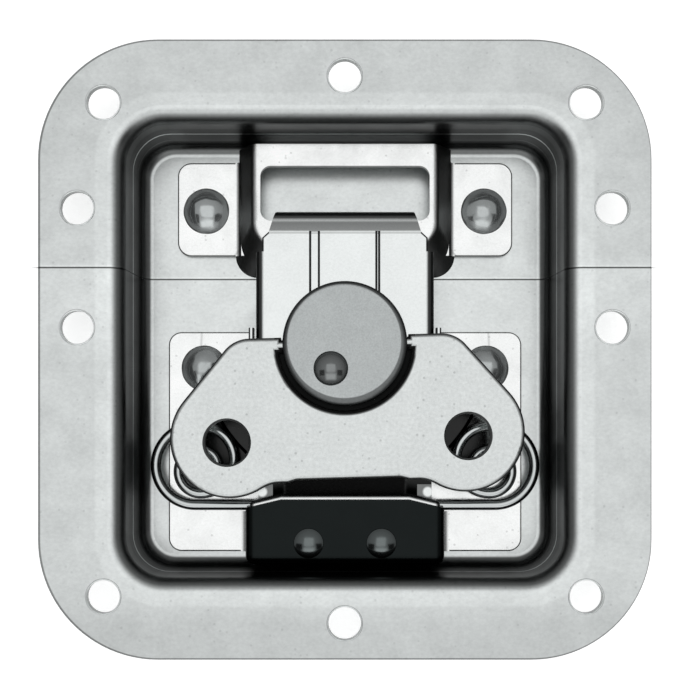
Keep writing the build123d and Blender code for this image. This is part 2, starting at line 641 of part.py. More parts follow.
def knuckle_arm(inner_x):
    """One arm of the carrier: ramped down from the web and curled round the wire."""
    bore_r = WIRE_R + HINGE_CLEARANCE
    outer_r = bore_r + CARRIER_SHEET
    top_z = AXLE_Z + outer_r
    flat_y = AXLE_Y + KNUCKLE_FLAT
    side_view = make_face(
        Polyline(
            (RAMP_TOP_Y + CARRIER_SHEET, CARRIER_WEB_TOP_Z),
            (RAMP_TOP_Y, CARRIER_WEB_TOP_Z),
            (flat_y, top_z),
            (AXLE_Y, top_z),
            (AXLE_Y, top_z - CARRIER_SHEET),
            (flat_y, top_z - CARRIER_SHEET),
            (RAMP_TOP_Y, CARRIER_WEB_Z),
            (RAMP_TOP_Y + CARRIER_SHEET, CARRIER_WEB_Z),
            close=True,
        )
    )
    curl = Pos(AXLE_Y, AXLE_Z) * (Circle(outer_r) - Circle(bore_r))
    curl_end = Pos(AXLE_Y + outer_r, AXLE_Z) * Rectangle(2 * outer_r, CARRIER_SHEET)
    profile = side_view + (curl - curl_end)
    return Pos(inner_x, 0, 0) * extrude(Plane.YZ * profile, amount=KNUCKLE_WIDTH)


def ramp_between_arms():
    """The web's near end between the arms, sloped down to just short of the wire."""
    end_y = AXLE_Y + RAMP_END
    side_view = make_face(
        Polyline(
            (RAMP_TOP_Y + CARRIER_SHEET, CARRIER_WEB_TOP_Z),
            (RAMP_TOP_Y, CARRIER_WEB_TOP_Z),
            (end_y, CARRIER_WEB_TOP_Z - RAMP_DROP),
            (end_y, CARRIER_WEB_Z - RAMP_DROP),
            (RAMP_TOP_Y, CARRIER_WEB_Z),
            (RAMP_TOP_Y + CARRIER_SHEET, CARRIER_WEB_Z),
            close=True,
        )
    )
    return Pos(-KNUCKLE_INNER_X, 0, 0) * extrude(Plane.YZ * side_view, amount=2 * KNUCKLE_INNER_X)


def carrier_plate():
    """Channel under the hook plate, hinged on the wire by two curled arms."""
    wall_face_x = HOOK_WIDTH / 2 + MOVING_GAP
    width = 2 * (wall_face_x + CARRIER_SHEET)
    y_range = (CARRIER_WALL_NEAR_Y, CARRIER_WALL_FAR_Y)
    channel = block((-width / 2, width / 2), y_range, (CARRIER_WEB_Z, CARRIER_WALL_TOP_Z))
    channel = fillet(edges_at(channel, CARRIER_WEB_Z).filter_by(Axis.Y), CARRIER_SHEET)
    channel -= block(
        (-wall_face_x, wall_face_x),
        (CARRIER_WALL_NEAR_Y - CUT, CARRIER_WALL_FAR_Y + CUT),
        (CARRIER_WEB_TOP_Z, CARRIER_WALL_TOP_Z + CUT),
    )
    channel = fillet(edges_at(channel, CARRIER_WALL_TOP_Z).filter_by(Axis.Y), CARRIER_WALL_EDGE_R)
    tongue = plan_rectangle(
        CARRIER_TONGUE_WIDTH, CARRIER_WALL_NEAR_Y, CARRIER_TONGUE_FAR_Y, CARRIER_SHEET
    )
    tail_width = 2 * (KNUCKLE_INNER_X + KNUCKLE_WIDTH)
    tail = block((-tail_width / 2, tail_width / 2), (RAMP_TOP_Y, 0), (CARRIER_WEB_Z, CARRIER_WEB_TOP_Z))
    carrier = channel + slab(tongue, CARRIER_WEB_Z, CARRIER_SHEET) + tail + ramp_between_arms()
    carrier += knuckle_arm(KNUCKLE_INNER_X) + knuckle_arm(-KNUCKLE_INNER_X - KNUCKLE_WIDTH)
    return carrier - cylinder_up(SPINDLE_R + SPINDLE_FIT, 0, DISH_DEPTH, 0, TURRET_Y)


# ---- Hook plate ----

def rolled_body():
    """The plate behind its head: flat, with both sides rolled down."""
    roll = acos((HOOK_ROLL_R - HOOK_SHEET) / HOOK_ROLL_R)
    half = HOOK_WIDTH / 2
    flat = half - HOOK_ROLL_R * sin(roll)
    arc_x = flat + HOOK_ROLL_R * sin(roll / 2)
    arc_z = HOOK_TOP_Z - HOOK_ROLL_R * (1 - cos(roll / 2))
    outline = Line((-half, HOOK_UNDERSIDE_Z), (half, HOOK_UNDERSIDE_Z))
    outline += ThreePointArc((half, HOOK_UNDERSIDE_Z), (arc_x, arc_z), (flat, HOOK_TOP_Z))
    outline += Line((flat, HOOK_TOP_Z), (-flat, HOOK_TOP_Z))
    outline += ThreePointArc((-flat, HOOK_TOP_Z), (-arc_x, arc_z), (-half, HOOK_UNDERSIDE_Z))
    length = HOOK_SHOULDER_Y - HOOK_NEAR_Y
    return Pos(0, HOOK_SHOULDER_Y, 0) * extrude(Plane.XZ * make_face(outline), amount=length)


def hook_head():
    """The narrower head, with bevelled corners either side of the lip."""
    half = HOOK_HEAD_WIDTH / 2
    outline = make_face(
        Polyline(
            (-half, HOOK_NEAR_Y),
            (half, HOOK_NEAR_Y),
            (half, HOOK_HEAD_Y - HOOK_HEAD_BEVEL),
            (LIP_ROOT_WIDTH / 2, HOOK_HEAD_Y),
            (-LIP_ROOT_WIDTH / 2, HOOK_HEAD_Y),
            (-half, HOOK_HEAD_Y - HOOK_HEAD_BEVEL),
            close=True,
        )
    )
    head = slab(outline, HOOK_UNDERSIDE_Z, HOOK_SHEET)
    side_edges = edges_at(head, HOOK_TOP_Z).filter_by(
        lambda edge: abs(edge.position_at(MIDDLE).X) > LIP_ROOT_WIDTH / 2
    )
    return fillet(side_edges, HOOK_HEAD_EDGE_R) & block(
        (-HOOK_WIDTH, HOOK_WIDTH), (HOOK_SHOULDER_Y - HOOK_SHEET, FLOOR_HEIGHT), (0, DISH_DEPTH)
    )


def on_curl(radius, slope):
    """Y and Z of a point of the lip's curl, at this radius and slope in degrees."""
    start_slope = radians(LIP_SLOPE)
    outer_r = LIP_CURL_R + HOOK_SHEET
    centre_y = HOOK_HEAD_Y + LIP_RUN - outer_r * sin(start_slope)
    centre_z = HOOK_TOP_Z - LIP_RUN * tan(start_slope) - outer_r * cos(start_slope)
    return centre_y + radius * sin(radians(slope)), centre_z + radius * cos(radians(slope))


def curl_arc(radius):
    """The curl's line at this radius."""
    middle_slope = (LIP_SLOPE + LIP_CURL_SLOPE) / 2
    return ThreePointArc(
        on_curl(radius, LIP_SLOPE), on_curl(radius, middle_slope), on_curl(radius, LIP_CURL_SLOPE)
    )


def hook_lip():
    """The lip: a shallow slope from the crease, a tight curl and a straight tip."""
    outer_r = LIP_CURL_R + HOOK_SHEET
    tip_y = LIP_STRAIGHT * cos(radians(LIP_CURL_SLOPE))
    tip_z = -LIP_STRAIGHT * sin(radians(LIP_CURL_SLOPE))
    outer_end = on_curl(outer_r, LIP_CURL_SLOPE)
    inner_end = on_curl(LIP_CURL_R, LIP_CURL_SLOPE)
    outer_tip = (outer_end[0] + tip_y, outer_end[1] + tip_z)
    inner_tip = (inner_end[0] + tip_y, inner_end[1] + tip_z)
    root_y = HOOK_HEAD_Y - 2 * HOOK_SHEET
    inner_crease_y = HOOK_HEAD_Y - HOOK_SHEET * tan(radians(LIP_SLOPE / 2))
    outline = Polyline((root_y, HOOK_TOP_Z), (HOOK_HEAD_Y, HOOK_TOP_Z), on_curl(outer_r, LIP_SLOPE))
    outline += curl_arc(outer_r)
    outline += Polyline(outer_end, outer_tip, inner_tip, inner_end)
    outline += curl_arc(LIP_CURL_R)
    outline += Polyline(
        on_curl(LIP_CURL_R, LIP_SLOPE), (inner_crease_y, HOOK_UNDERSIDE_Z), (root_y, HOOK_UNDERSIDE_Z),
        (root_y, HOOK_TOP_Z),
    )
    lip = Pos(-LIP_ROOT_WIDTH / 2, 0, 0) * extrude(Plane.YZ * make_face(outline), amount=LIP_ROOT_WIDTH)
    crease = lip.edges().filter_by(Axis.X).filter_by_position(
        Axis.Y, HOOK_HEAD_Y - SAME, HOOK_HEAD_Y + SAME
    )
    lip = fillet(crease, LIP_BEND_R)
    plan = make_face(
        Polyline(
            (-LIP_ROOT_WIDTH / 2, root_y),
            (LIP_ROOT_WIDTH / 2, root_y),
            (LIP_ROOT_WIDTH / 2, HOOK_HEAD_Y),
            (LIP_TIP_WIDTH / 2, outer_tip[0]),
            (-LIP_TIP_WIDTH / 2, outer_tip[0]),
            (-LIP_ROOT_WIDTH / 2, HOOK_HEAD_Y),
            close=True,
        )
    )
    return lip & slab(plan, 0, DISH_DEPTH)


def pressed_line(x, flat):
    """Cutter for one pressed line: a flat bottom between two sloped sides."""
    top = flat / 2 + GROOVE_SIDE * (1 + CUT / GROOVE_DEPTH)
    section = make_face(
        Polyline(
            (x - flat / 2, HOOK_TOP_Z - GROOVE_DEPTH),
            (x + flat / 2, HOOK_TOP_Z - GROOVE_DEPTH),
            (x + top, HOOK_TOP_Z + CUT),
            (x - top, HOOK_TOP_Z + CUT),
            close=True,
        )
    )
    near_y = TURRET_Y + GROOVE_FROM_TURRET
    return Pos(0, HOOK_HEAD_Y, 0) * extrude(Plane.XZ * section, amount=HOOK_HEAD_Y - near_y)


def hook_plate():
    """Sliding plate with its lip, the spindle's slot and the crank rivet's window."""
    slot_r = SPINDLE_R + MOVING_GAP
    slot = Pos(0, TURRET_Y - HOOK_TRAVEL / 2) * SlotCenterToCenter(HOOK_TRAVEL, 2 * slot_r, rotation=90)
    window_r = CRANK_CAM_R + MOVING_GAP
    crank_y = TURRET_Y + CRANK_Y
    window = plan_rectangle(
        2 * (CRANK_THROW + window_r), crank_y - CRANK_LAG - window_r, crank_y + window_r, window_r / 2
    )
    plate = rolled_body() + hook_head() + hook_lip() - slab(slot + window, 0, DISH_DEPTH)
    return plate - pressed_line(GROOVE_LEFT_X, GROOVE_LEFT_FLAT) - pressed_line(
        GROOVE_RIGHT_X, GROOVE_RIGHT_FLAT
    )


# ---- Turret ----

def on_turret(shape):
    """A shape modelled about the turret's axis, moved there and turned to the locked handle."""
    return Pos(0, TURRET_Y, 0) * Rot(0, 0, HANDLE_REST_TURN) * shape


def turret():
    """Cast disc with a rim below the handle, a socket at each side, and the spindle below."""
    disc = cylinder_up(DISC_R, DISC_BOTTOM_Z, DISC_TOP_Z)
    disc = fillet(edges_at(disc, DISC_TOP_Z), DISC_EDGE_R)
    spindle = cylinder_up(SPINDLE_R, spindle_end_z(), DISC_BOTTOM_Z)
    groove = cylinder_up(SPINDLE_R + CUT, ring_low_z(), ring_low_z() + RING_SHEET)
    groove -= cylinder_up(SPINDLE_GROOVE_R, ring_low_z(), ring_low_z() + RING_SHEET)
    rim_range = (DISC_BOTTOM_Z, DISC_BOTTOM_Z + TURRET_RIM_HEIGHT)
    rim = cylinder_up(NOTCH_R - MOVING_GAP, *rim_range) & block(
        (-NOTCH_R, NOTCH_R), (-NOTCH_R, LUG_NEAR_Y - MOVING_GAP), rim_range
    )
    body = disc + rim + spindle - groove
    socket_depth = TRUNNION_LENGTH + MOVING_GAP
    for side in (-1, 1):
        socket = Rot(0, 90, 0) * Cylinder(TRUNNION_R + SPINDLE_FIT, socket_depth + CUT)
        body -= Pos(side * (DISC_R - (socket_depth - CUT) / 2), 0, FOLD_Z) * socket
    return on_turret(body) - crank_bore()


def ring_low_z():
    """Underside of the ring in the spindle's groove."""
    return CARRIER_WEB_Z - WASHER_SHEET - RING_GAP - RING_SHEET


def spindle_end_z():
    """Lower end of the spindle."""
    return ring_low_z() - SPINDLE_END


def crank_bore():
    """Cutter for the crank rivet's hole in the disc."""
    return cylinder_up(CRANK_SHANK_R, 0, DISH_DEPTH, CRANK_X, TURRET_Y + CRANK_Y)


def crank_rivet():
    """Stud riveted over on the disc's face, its thick end in the hook plate's window."""
    dome = domed_rivet(
        CRANK_HEAD_R, CRANK_HEAD_RISE, CRANK_SHANK_R, DISC_TOP_Z, DISC_BOTTOM_Z, CRANK_SHANK_R,
        CRANK_HEAD_RISE,
    )
    cam = cylinder_up(CRANK_CAM_R, HOOK_UNDERSIDE_Z + CRANK_CAM_GAP, DISC_BOTTOM_Z)
    return Pos(CRANK_X, TURRET_Y + CRANK_Y, 0) * (dome + cam)


def spindle_washer():
    """Flat washer under the carrier's web."""
    low_z = CARRIER_WEB_Z - WASHER_SHEET
    ring = Circle(WASHER_R) - Circle(SPINDLE_R + SPINDLE_FIT)
    return Pos(0, TURRET_Y, 0) * slab(ring, low_z, WASHER_SHEET)


def retaining_ring():
    """Open ring that snaps into the spindle's groove."""
    ring = Circle(RING_R) - Circle(SPINDLE_GROOVE_R)
    ring -= Pos(0, -RING_R) * Rectangle(RING_OPENING, 2 * RING_R)
    return on_turret(slab(ring, ring_low_z(), RING_SHEET))


# ---- Handle ----

def lobe_tangent(side):
    """Where the straight side of the handle runs into its lobe."""
    dx = SHOULDER_WIDTH / 2 - LOBE_X
    dy = SHOULDER_Y - LOBE_Y
    angle = atan2(dy, dx) - acos(LOBE_R / hypot(dx, dy))
    return side * (LOBE_X + LOBE_R * cos(angle)), LOBE_Y + LOBE_R * sin(angle)


def handle_outline():
    """Plan of the butterfly: shoulders, two lobes, the waist between and the disc's notch."""
    half = SHOULDER_WIDTH / 2
    recess_y = WAIST_Y + WAIST_RECESS
    recess_outer_x = (WAIST_RECESS_WIDTH + WAIST_RECESS_RUN) / 2
    recess_inner_x = (WAIST_RECESS_WIDTH - WAIST_RECESS_RUN) / 2
    wing = make_face(
        Polyline(
            (-half, SHOULDER_Y), (half, SHOULDER_Y), lobe_tangent(1), (LOBE_X, LOBE_Y),
            (LOBE_X - LOBE_R / 2, WAIST_Y), (recess_outer_x, WAIST_Y), (recess_inner_x, recess_y),
            (-recess_inner_x, recess_y), (-recess_outer_x, WAIST_Y), (-LOBE_X + LOBE_R / 2, WAIST_Y),
            (-LOBE_X, LOBE_Y), lobe_tangent(-1), close=True,
        )
    )
    for side in (-1, 1):
        wing += Pos(side * LOBE_X, LOBE_Y) * Circle(LOBE_R)
    shoulders = wing.vertices().group_by(Axis.Y)[-1]
    wing = fillet(shoulders, SHOULDER_R)
    recess = wing.vertices().filter_by(
        lambda corner: corner.Y < recess_y + SAME and abs(corner.X) < recess_outer_x + SAME
    )
    wing = fillet(recess, WAIST_RECESS_R)
    waist = wing.vertices().filter_by(
        lambda corner: abs(corner.Y - WAIST_Y) < SAME
        and abs(corner.X) > recess_outer_x + WAIST_RECESS_R
    )
    wing = fillet(waist, WAIST_R)
    lug_x = DISC_R + MOVING_GAP
    notch = Circle(NOTCH_R) & Pos(0, LUG_NEAR_Y - NOTCH_R) * Rectangle(2 * NOTCH_R, 2 * NOTCH_R)
    return wing - notch - Rectangle(2 * lug_x, 4 * NOTCH_R).moved(Location((0, LUG_NEAR_Y + 2 * NOTCH_R)))


def butterfly_handle():
    """Stamped handle with two wing holes, a shallow recess at the waist and two trunnions."""
    plate = slab(handle_outline(), HANDLE_UNDERSIDE_Z, HANDLE_SHEET)
    plate = fillet(edges_at(plate, HANDLE_TOP_Z), HANDLE_EDGE_R)
    for side in (-1, 1):
        plate -= cylinder_up(
            WING_HOLE_R, HANDLE_UNDERSIDE_Z - CUT, HANDLE_TOP_Z + CUT, side * WING_HOLE_X, WING_HOLE_Y
        )
        trunnion = Cylinder(TRUNNION_R, TRUNNION_LENGTH + MOVING_GAP + CUT)
        centre_x = DISC_R - TRUNNION_LENGTH / 2 + (MOVING_GAP + CUT) / 2
        plate += Pos(side * centre_x, 0, FOLD_Z) * Rot(0, 90, 0) * trunnion
    rims = edges_at(plate, HANDLE_TOP_Z).filter_by(GeomType.CIRCLE)
    rims = rims.filter_by(lambda edge: abs(edge.radius - WING_HOLE_R) < SAME)
    return on_turret(chamfer(rims, WING_HOLE_BEVEL))


# ---- Every piece, by name ----

def all_parts():
    """The name and solid of each piece."""
    dish = pressed_dish()
    strike_left, strike_right, base_left, base_right = plate_rivet_places()
    rivet = plate_rivet()
    small_rivet = cover_rivet()
    return {
        "lid_dish": lid_dish(dish),
        "base_dish": base_dish(dish),
        "strike_plate": strike_plate(),
        "strike_rivet_left": Pos(*strike_left, 0) * rivet,
        "strike_rivet_right": Pos(*strike_right, 0) * rivet,
        "base_plate": base_plate(),
        "base_rivet_left": Pos(*base_left, 0) * rivet,
        "base_rivet_right": Pos(*base_right, 0) * rivet,
        "hood_cover": hood_cover(),
        "cover_rivet_left": Pos(-COVER_RIVET_X, COVER_RIVET_Y, 0) * small_rivet,
        "cover_rivet_right": Pos(COVER_RIVET_X, COVER_RIVET_Y, 0) * small_rivet,
        "wire_spring": wire_spring(),
        "carrier_plate": carrier_plate(),
        "spindle_washer": spindle_washer(),
        "hook_plate": hook_plate(),
        "turret": turret(),
        "crank_rivet": crank_rivet(),
        "retaining_ring": retaining_ring(),
        "butterfly_handle": butterfly_handle(),
    }


def main():
    """Write each piece to its own STEP file."""
    os.makedirs("parts", exist_ok=True)
    for name, solid in all_parts().items():
        export_step(solid, f"parts/{name}.step")


if __name__ == "__main__":
    main()
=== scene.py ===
"""Recessed butterfly case latch: the finishes, small forms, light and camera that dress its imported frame."""

import json
import logging
from dataclasses import dataclass
from enum import Enum
from math import cos, pi, radians, sin

import bpy
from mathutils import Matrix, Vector


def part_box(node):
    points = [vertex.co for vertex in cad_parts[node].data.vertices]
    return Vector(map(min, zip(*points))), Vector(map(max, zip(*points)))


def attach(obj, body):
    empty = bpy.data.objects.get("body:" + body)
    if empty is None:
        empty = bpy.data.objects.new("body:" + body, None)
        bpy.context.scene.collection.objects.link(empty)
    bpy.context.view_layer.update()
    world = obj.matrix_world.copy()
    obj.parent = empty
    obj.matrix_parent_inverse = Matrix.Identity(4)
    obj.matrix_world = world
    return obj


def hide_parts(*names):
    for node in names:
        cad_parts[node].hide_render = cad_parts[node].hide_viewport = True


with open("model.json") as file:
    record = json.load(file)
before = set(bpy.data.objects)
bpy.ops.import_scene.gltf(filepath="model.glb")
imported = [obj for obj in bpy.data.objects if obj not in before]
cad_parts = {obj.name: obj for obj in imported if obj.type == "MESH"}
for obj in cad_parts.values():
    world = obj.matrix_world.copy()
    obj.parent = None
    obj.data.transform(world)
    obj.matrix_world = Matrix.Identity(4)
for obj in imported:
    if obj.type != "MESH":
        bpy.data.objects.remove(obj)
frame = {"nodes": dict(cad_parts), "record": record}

LOG = logging.getLogger("latch")
MM = 0.001

FAR = 100.0            # past every piece, in millimetres
STRAIGHT_DOWN = -1.0   # upright part of the direction of a face that looks down

Colour = tuple[float, float, float]
Stops = tuple[tuple[float, float], ...]
Socket = bpy.types.NodeSocket


# ---- Node helpers ----

class Nodes:
    """Adds and joins nodes in one tree, with short calls."""

    def __init__(self, tree: bpy.types.NodeTree) -> None:
        """Keeps the tree.

        Args:
            tree: The node tree to add to.
        """
        self.tree = tree

    def add(self, kind: str, settings: dict | None = None, **values: object) -> bpy.types.Node:
        """Adds a node and sets its properties and its sockets.

        Args:
            kind: The node's bl_idname.
            settings: Properties of the node itself.
            values: Socket values by name with _ for a space, or sockets to join to them.

        Returns:
            The new node.
        """
        node = self.tree.nodes.new(kind)
        for name, value in (settings or {}).items():
            setattr(node, name, value)
        for name, value in values.items():
            self.put(node, name.replace("_", " "), value)
        return node

    def put(self, node: bpy.types.Node, name: str | int, value: object) -> None:
        """Sets one input of a node, or joins a socket to it.

        Args:
            node: The node.
            name: The input's name or number.
            value: A socket to join, or a plain value.
        """
        socket = node.inputs[name]
        if isinstance(value, Socket):
            self.tree.links.new(value, socket)
        else:
            socket.default_value = value

    def math(self, operation: str, first: object, second: object = 0.0) -> Socket:
        """One sum of numbers.

        Args:
            operation: The Math node's operation.
            first: The first number or socket.
            second: The second number or socket.

        Returns:
            The result's socket.
        """
        node = self.add("ShaderNodeMath", {"operation": operation})
        for index, value in enumerate((first, second)):
            self.put(node, index, value)
        return node.outputs[0]

    def scaled(self, vector: Socket, factor: object) -> Socket:
        """A vector or a colour, times a number."""
        node = self.add("ShaderNodeVectorMath", {"operation": "SCALE"})
        self.put(node, 0, vector)
        self.put(node, "Scale", factor)
        return node.outputs[0]

    def axes(self, vector: Socket) -> tuple[Socket, Socket, Socket]:
        """The X, Y and Z of a vector."""
        parts = self.add("ShaderNodeSeparateXYZ", Vector=vector).outputs
        return parts["X"], parts["Y"], parts["Z"]

    def tones(self, value: object, stops: Stops, low: float, high: float, brightest: float = 1.0) -> Socket:
        """A tone that changes with place.

        Args:
            value: The place.
            stops: Pairs of place and tone.
            low: Place at the ramp's start.
            high: Place at its end.
            brightest: The highest tone that the ramp has to hold.

        Returns:
            The tone's socket.
        """
        share = self.math("DIVIDE", self.math("SUBTRACT", value, low), high - low)
        node = self.add("ShaderNodeValToRGB", Fac=share)
        elements = node.color_ramp.elements
        while len(elements) < len(stops):
            elements.new(0.5)
        for element, (place, tone) in zip(elements, stops):
            element.position = (place - low) / (high - low)
            element.color = (*(tone / brightest,) * 3, 1.0)
        grey = self.add("ShaderNodeSeparateColor", Color=node.outputs["Color"]).outputs[0]
        return self.math("MULTIPLY", grey, brightest)

    def mix(self, factor: object, first: object, second: object) -> Socket:
        """A mix of two colours.

        Args:
            factor: How much of the second.
            first: The first colour or socket.
            second: The second colour or socket.

        Returns:
            The colour's socket.
        """
        node = self.add("ShaderNodeMix", {"data_type": "RGBA"})
        self.put(node, 0, factor)
        for index, value in ((6, first), (7, second)):
            self.put(node, index, value if isinstance(value, Socket) else (*value, 1.0))
        return node.outputs[2]

    def band(self, value: object, low: float, high: float, soft: float) -> Socket:
        """A mask that is 1 between two values and fades to 0 outside them.

        Args:
            value: The number or socket to test.
            low: Lower edge, at half strength.
            high: Upper edge, at half strength.
            soft: Width of each fade.

        Returns:
            The mask's socket.
        """
        half = (high - low) / 2
        away = self.math("ABSOLUTE", self.math("SUBTRACT", value, (high + low) / 2))
        fade = self.add("ShaderNodeMapRange", {"interpolation_type": "SMOOTHSTEP"}, Value=away)
        for index, level in ((1, half - soft / 2), (2, half + soft / 2), (3, 1.0), (4, 0.0)):
            fade.inputs[index].default_value = level
        return fade.outputs[0]

    def below(self, value: object, limit: float, soft: float) -> Socket:
        """A mask of what lies below a limit in millimetres."""
        return self.band(value, -FAR, limit, soft)

    def above(self, value: object, limit: float, soft: float) -> Socket:
        """A mask of what lies above a limit in millimetres."""
        return self.band(value, limit, FAR, soft)

    def both(self, first: object, second: object) -> Socket:
        """Where two masks meet."""
        return self.math("MULTIPLY", first, second)

    def level(self, mask: object, outside: object, inside: object) -> Socket:
        """A number that is one level outside a mask and another inside it."""
        node = self.add("ShaderNodeMix", {"data_type": "FLOAT"})
        for index, value in ((0, mask), (2, outside), (3, inside)):
            self.put(node, index, value)
        return node.outputs[0]

    def mark(self, value: object, mark: "Mark", origin: float = 0.0) -> Socket:
        """A gain that is the mark's tone on the mark, whose limits count from the origin, and 1 off it."""
        band = self.band(value, origin + mark.low, origin + mark.high, mark.soft)
        return self.level(band, 1.0, mark.tone)

    def place(self) -> tuple[Socket, Socket, Socket]:
        """The X, Y and Z of the surface in the latch's own frame, in millimetres."""
        return self.axes(self.scaled(self.add("ShaderNodeTexCoord").outputs["Object"], 1 / MM))

    def facing(self) -> tuple[Socket, Socket, Socket]:
        """The X, Y and Z of the direction that the surface faces, in the latch's own frame."""
        return self.axes(self.add("ShaderNodeTexCoord").outputs["Normal"])

    def distance(self, x: object, y: object, centre: tuple[float, float]) -> Socket:
        """Distance from a place in plan.

        Args:
            x: X socket.
            y: Y socket.
            centre: The place.

        Returns:
            The distance's socket.
        """
        over = self.math("SUBTRACT", x, centre[0])
        up = self.math("SUBTRACT", y, centre[1])
        square = self.math("ADD", self.math("MULTIPLY", over, over), self.math("MULTIPLY", up, up))
        return self.math("SQRT", square)

    def rounded_distance(self, x: object, y: object, outline: "Outline") -> Socket:
        """Distance outside a rounded rectangle in plan; negative within it.

        Args:
            x: X socket.
            y: Y socket.
            outline: The rectangle.

        Returns:
            The distance's socket.
        """
        past = []
        for value, half in ((x, outline.half_x), (y, outline.half_y)):
            beyond = self.math("SUBTRACT", self.math("ABSOLUTE", value), half - outline.corner_r)
            past.append(self.math("MAXIMUM", beyond, 0.0))
        return self.math("SUBTRACT", self.distance(*past, (0.0, 0.0)), outline.corner_r)

    def raised(self, geometry: Socket, amount: object) -> Socket:
        """Geometry moved up by an amount."""
        moved = self.add("GeometryNodeTransform", Geometry=geometry)
        self.put(moved, "Translation", self.add("ShaderNodeCombineXYZ", Z=amount).outputs[0])
        return moved.outputs[0]

    def joined(self, *parts: Socket) -> Socket:
        """Several lots of geometry as one."""
        node = self.add("GeometryNodeJoinGeometry")
        for part in parts:
            self.put(node, "Geometry", part)
        return node.outputs[0]


@dataclass(frozen=True)
class Mark:
    """A band of another tone on a surface, in millimetres.

    Attributes:
        low: Lower edge, at half strength.
        high: Upper edge, at half strength.
        soft: Width of each fade.
        tone: How light it is against the plain surface.
    """

    low: float
    high: float
    soft: float
    tone: float


@dataclass(frozen=True)
class Outline:
    """A rounded rectangle about the latch's middle, in millimetres.

    Attributes:
        half_x: Half its width.
        half_y: Half its height.
        corner_r: Radius of its corners.
    """

    half_x: float
    half_y: float
    corner_r: float


class Surface(Enum):
    """How a piece's surface looks close by."""

    ROLLED = "rolled"
    TUMBLED = "tumbled"
    SANDY = "sandy"
    DRAWN = "drawn"


GRAIN_STRETCH = {
    Surface.ROLLED: (0.8, 1.0, 1.0),
    Surface.TUMBLED: (1.0, 1.0, 1.0),
    Surface.SANDY: (1.0, 1.0, 1.0),
    Surface.DRAWN: (0.12, 1.0, 1.0),
}


def group_inputs(tree: bpy.types.NodeTree, names: dict[str, tuple[str, object]]) -> None:
    """Gives a node group its named inputs.

    Args:
        tree: The group's tree.
        names: Socket type and starting value by name.
    """
    for name, (kind, value) in names.items():
        socket = tree.interface.new_socket(name=name, in_out="INPUT", socket_type=kind)
        socket.default_value = value


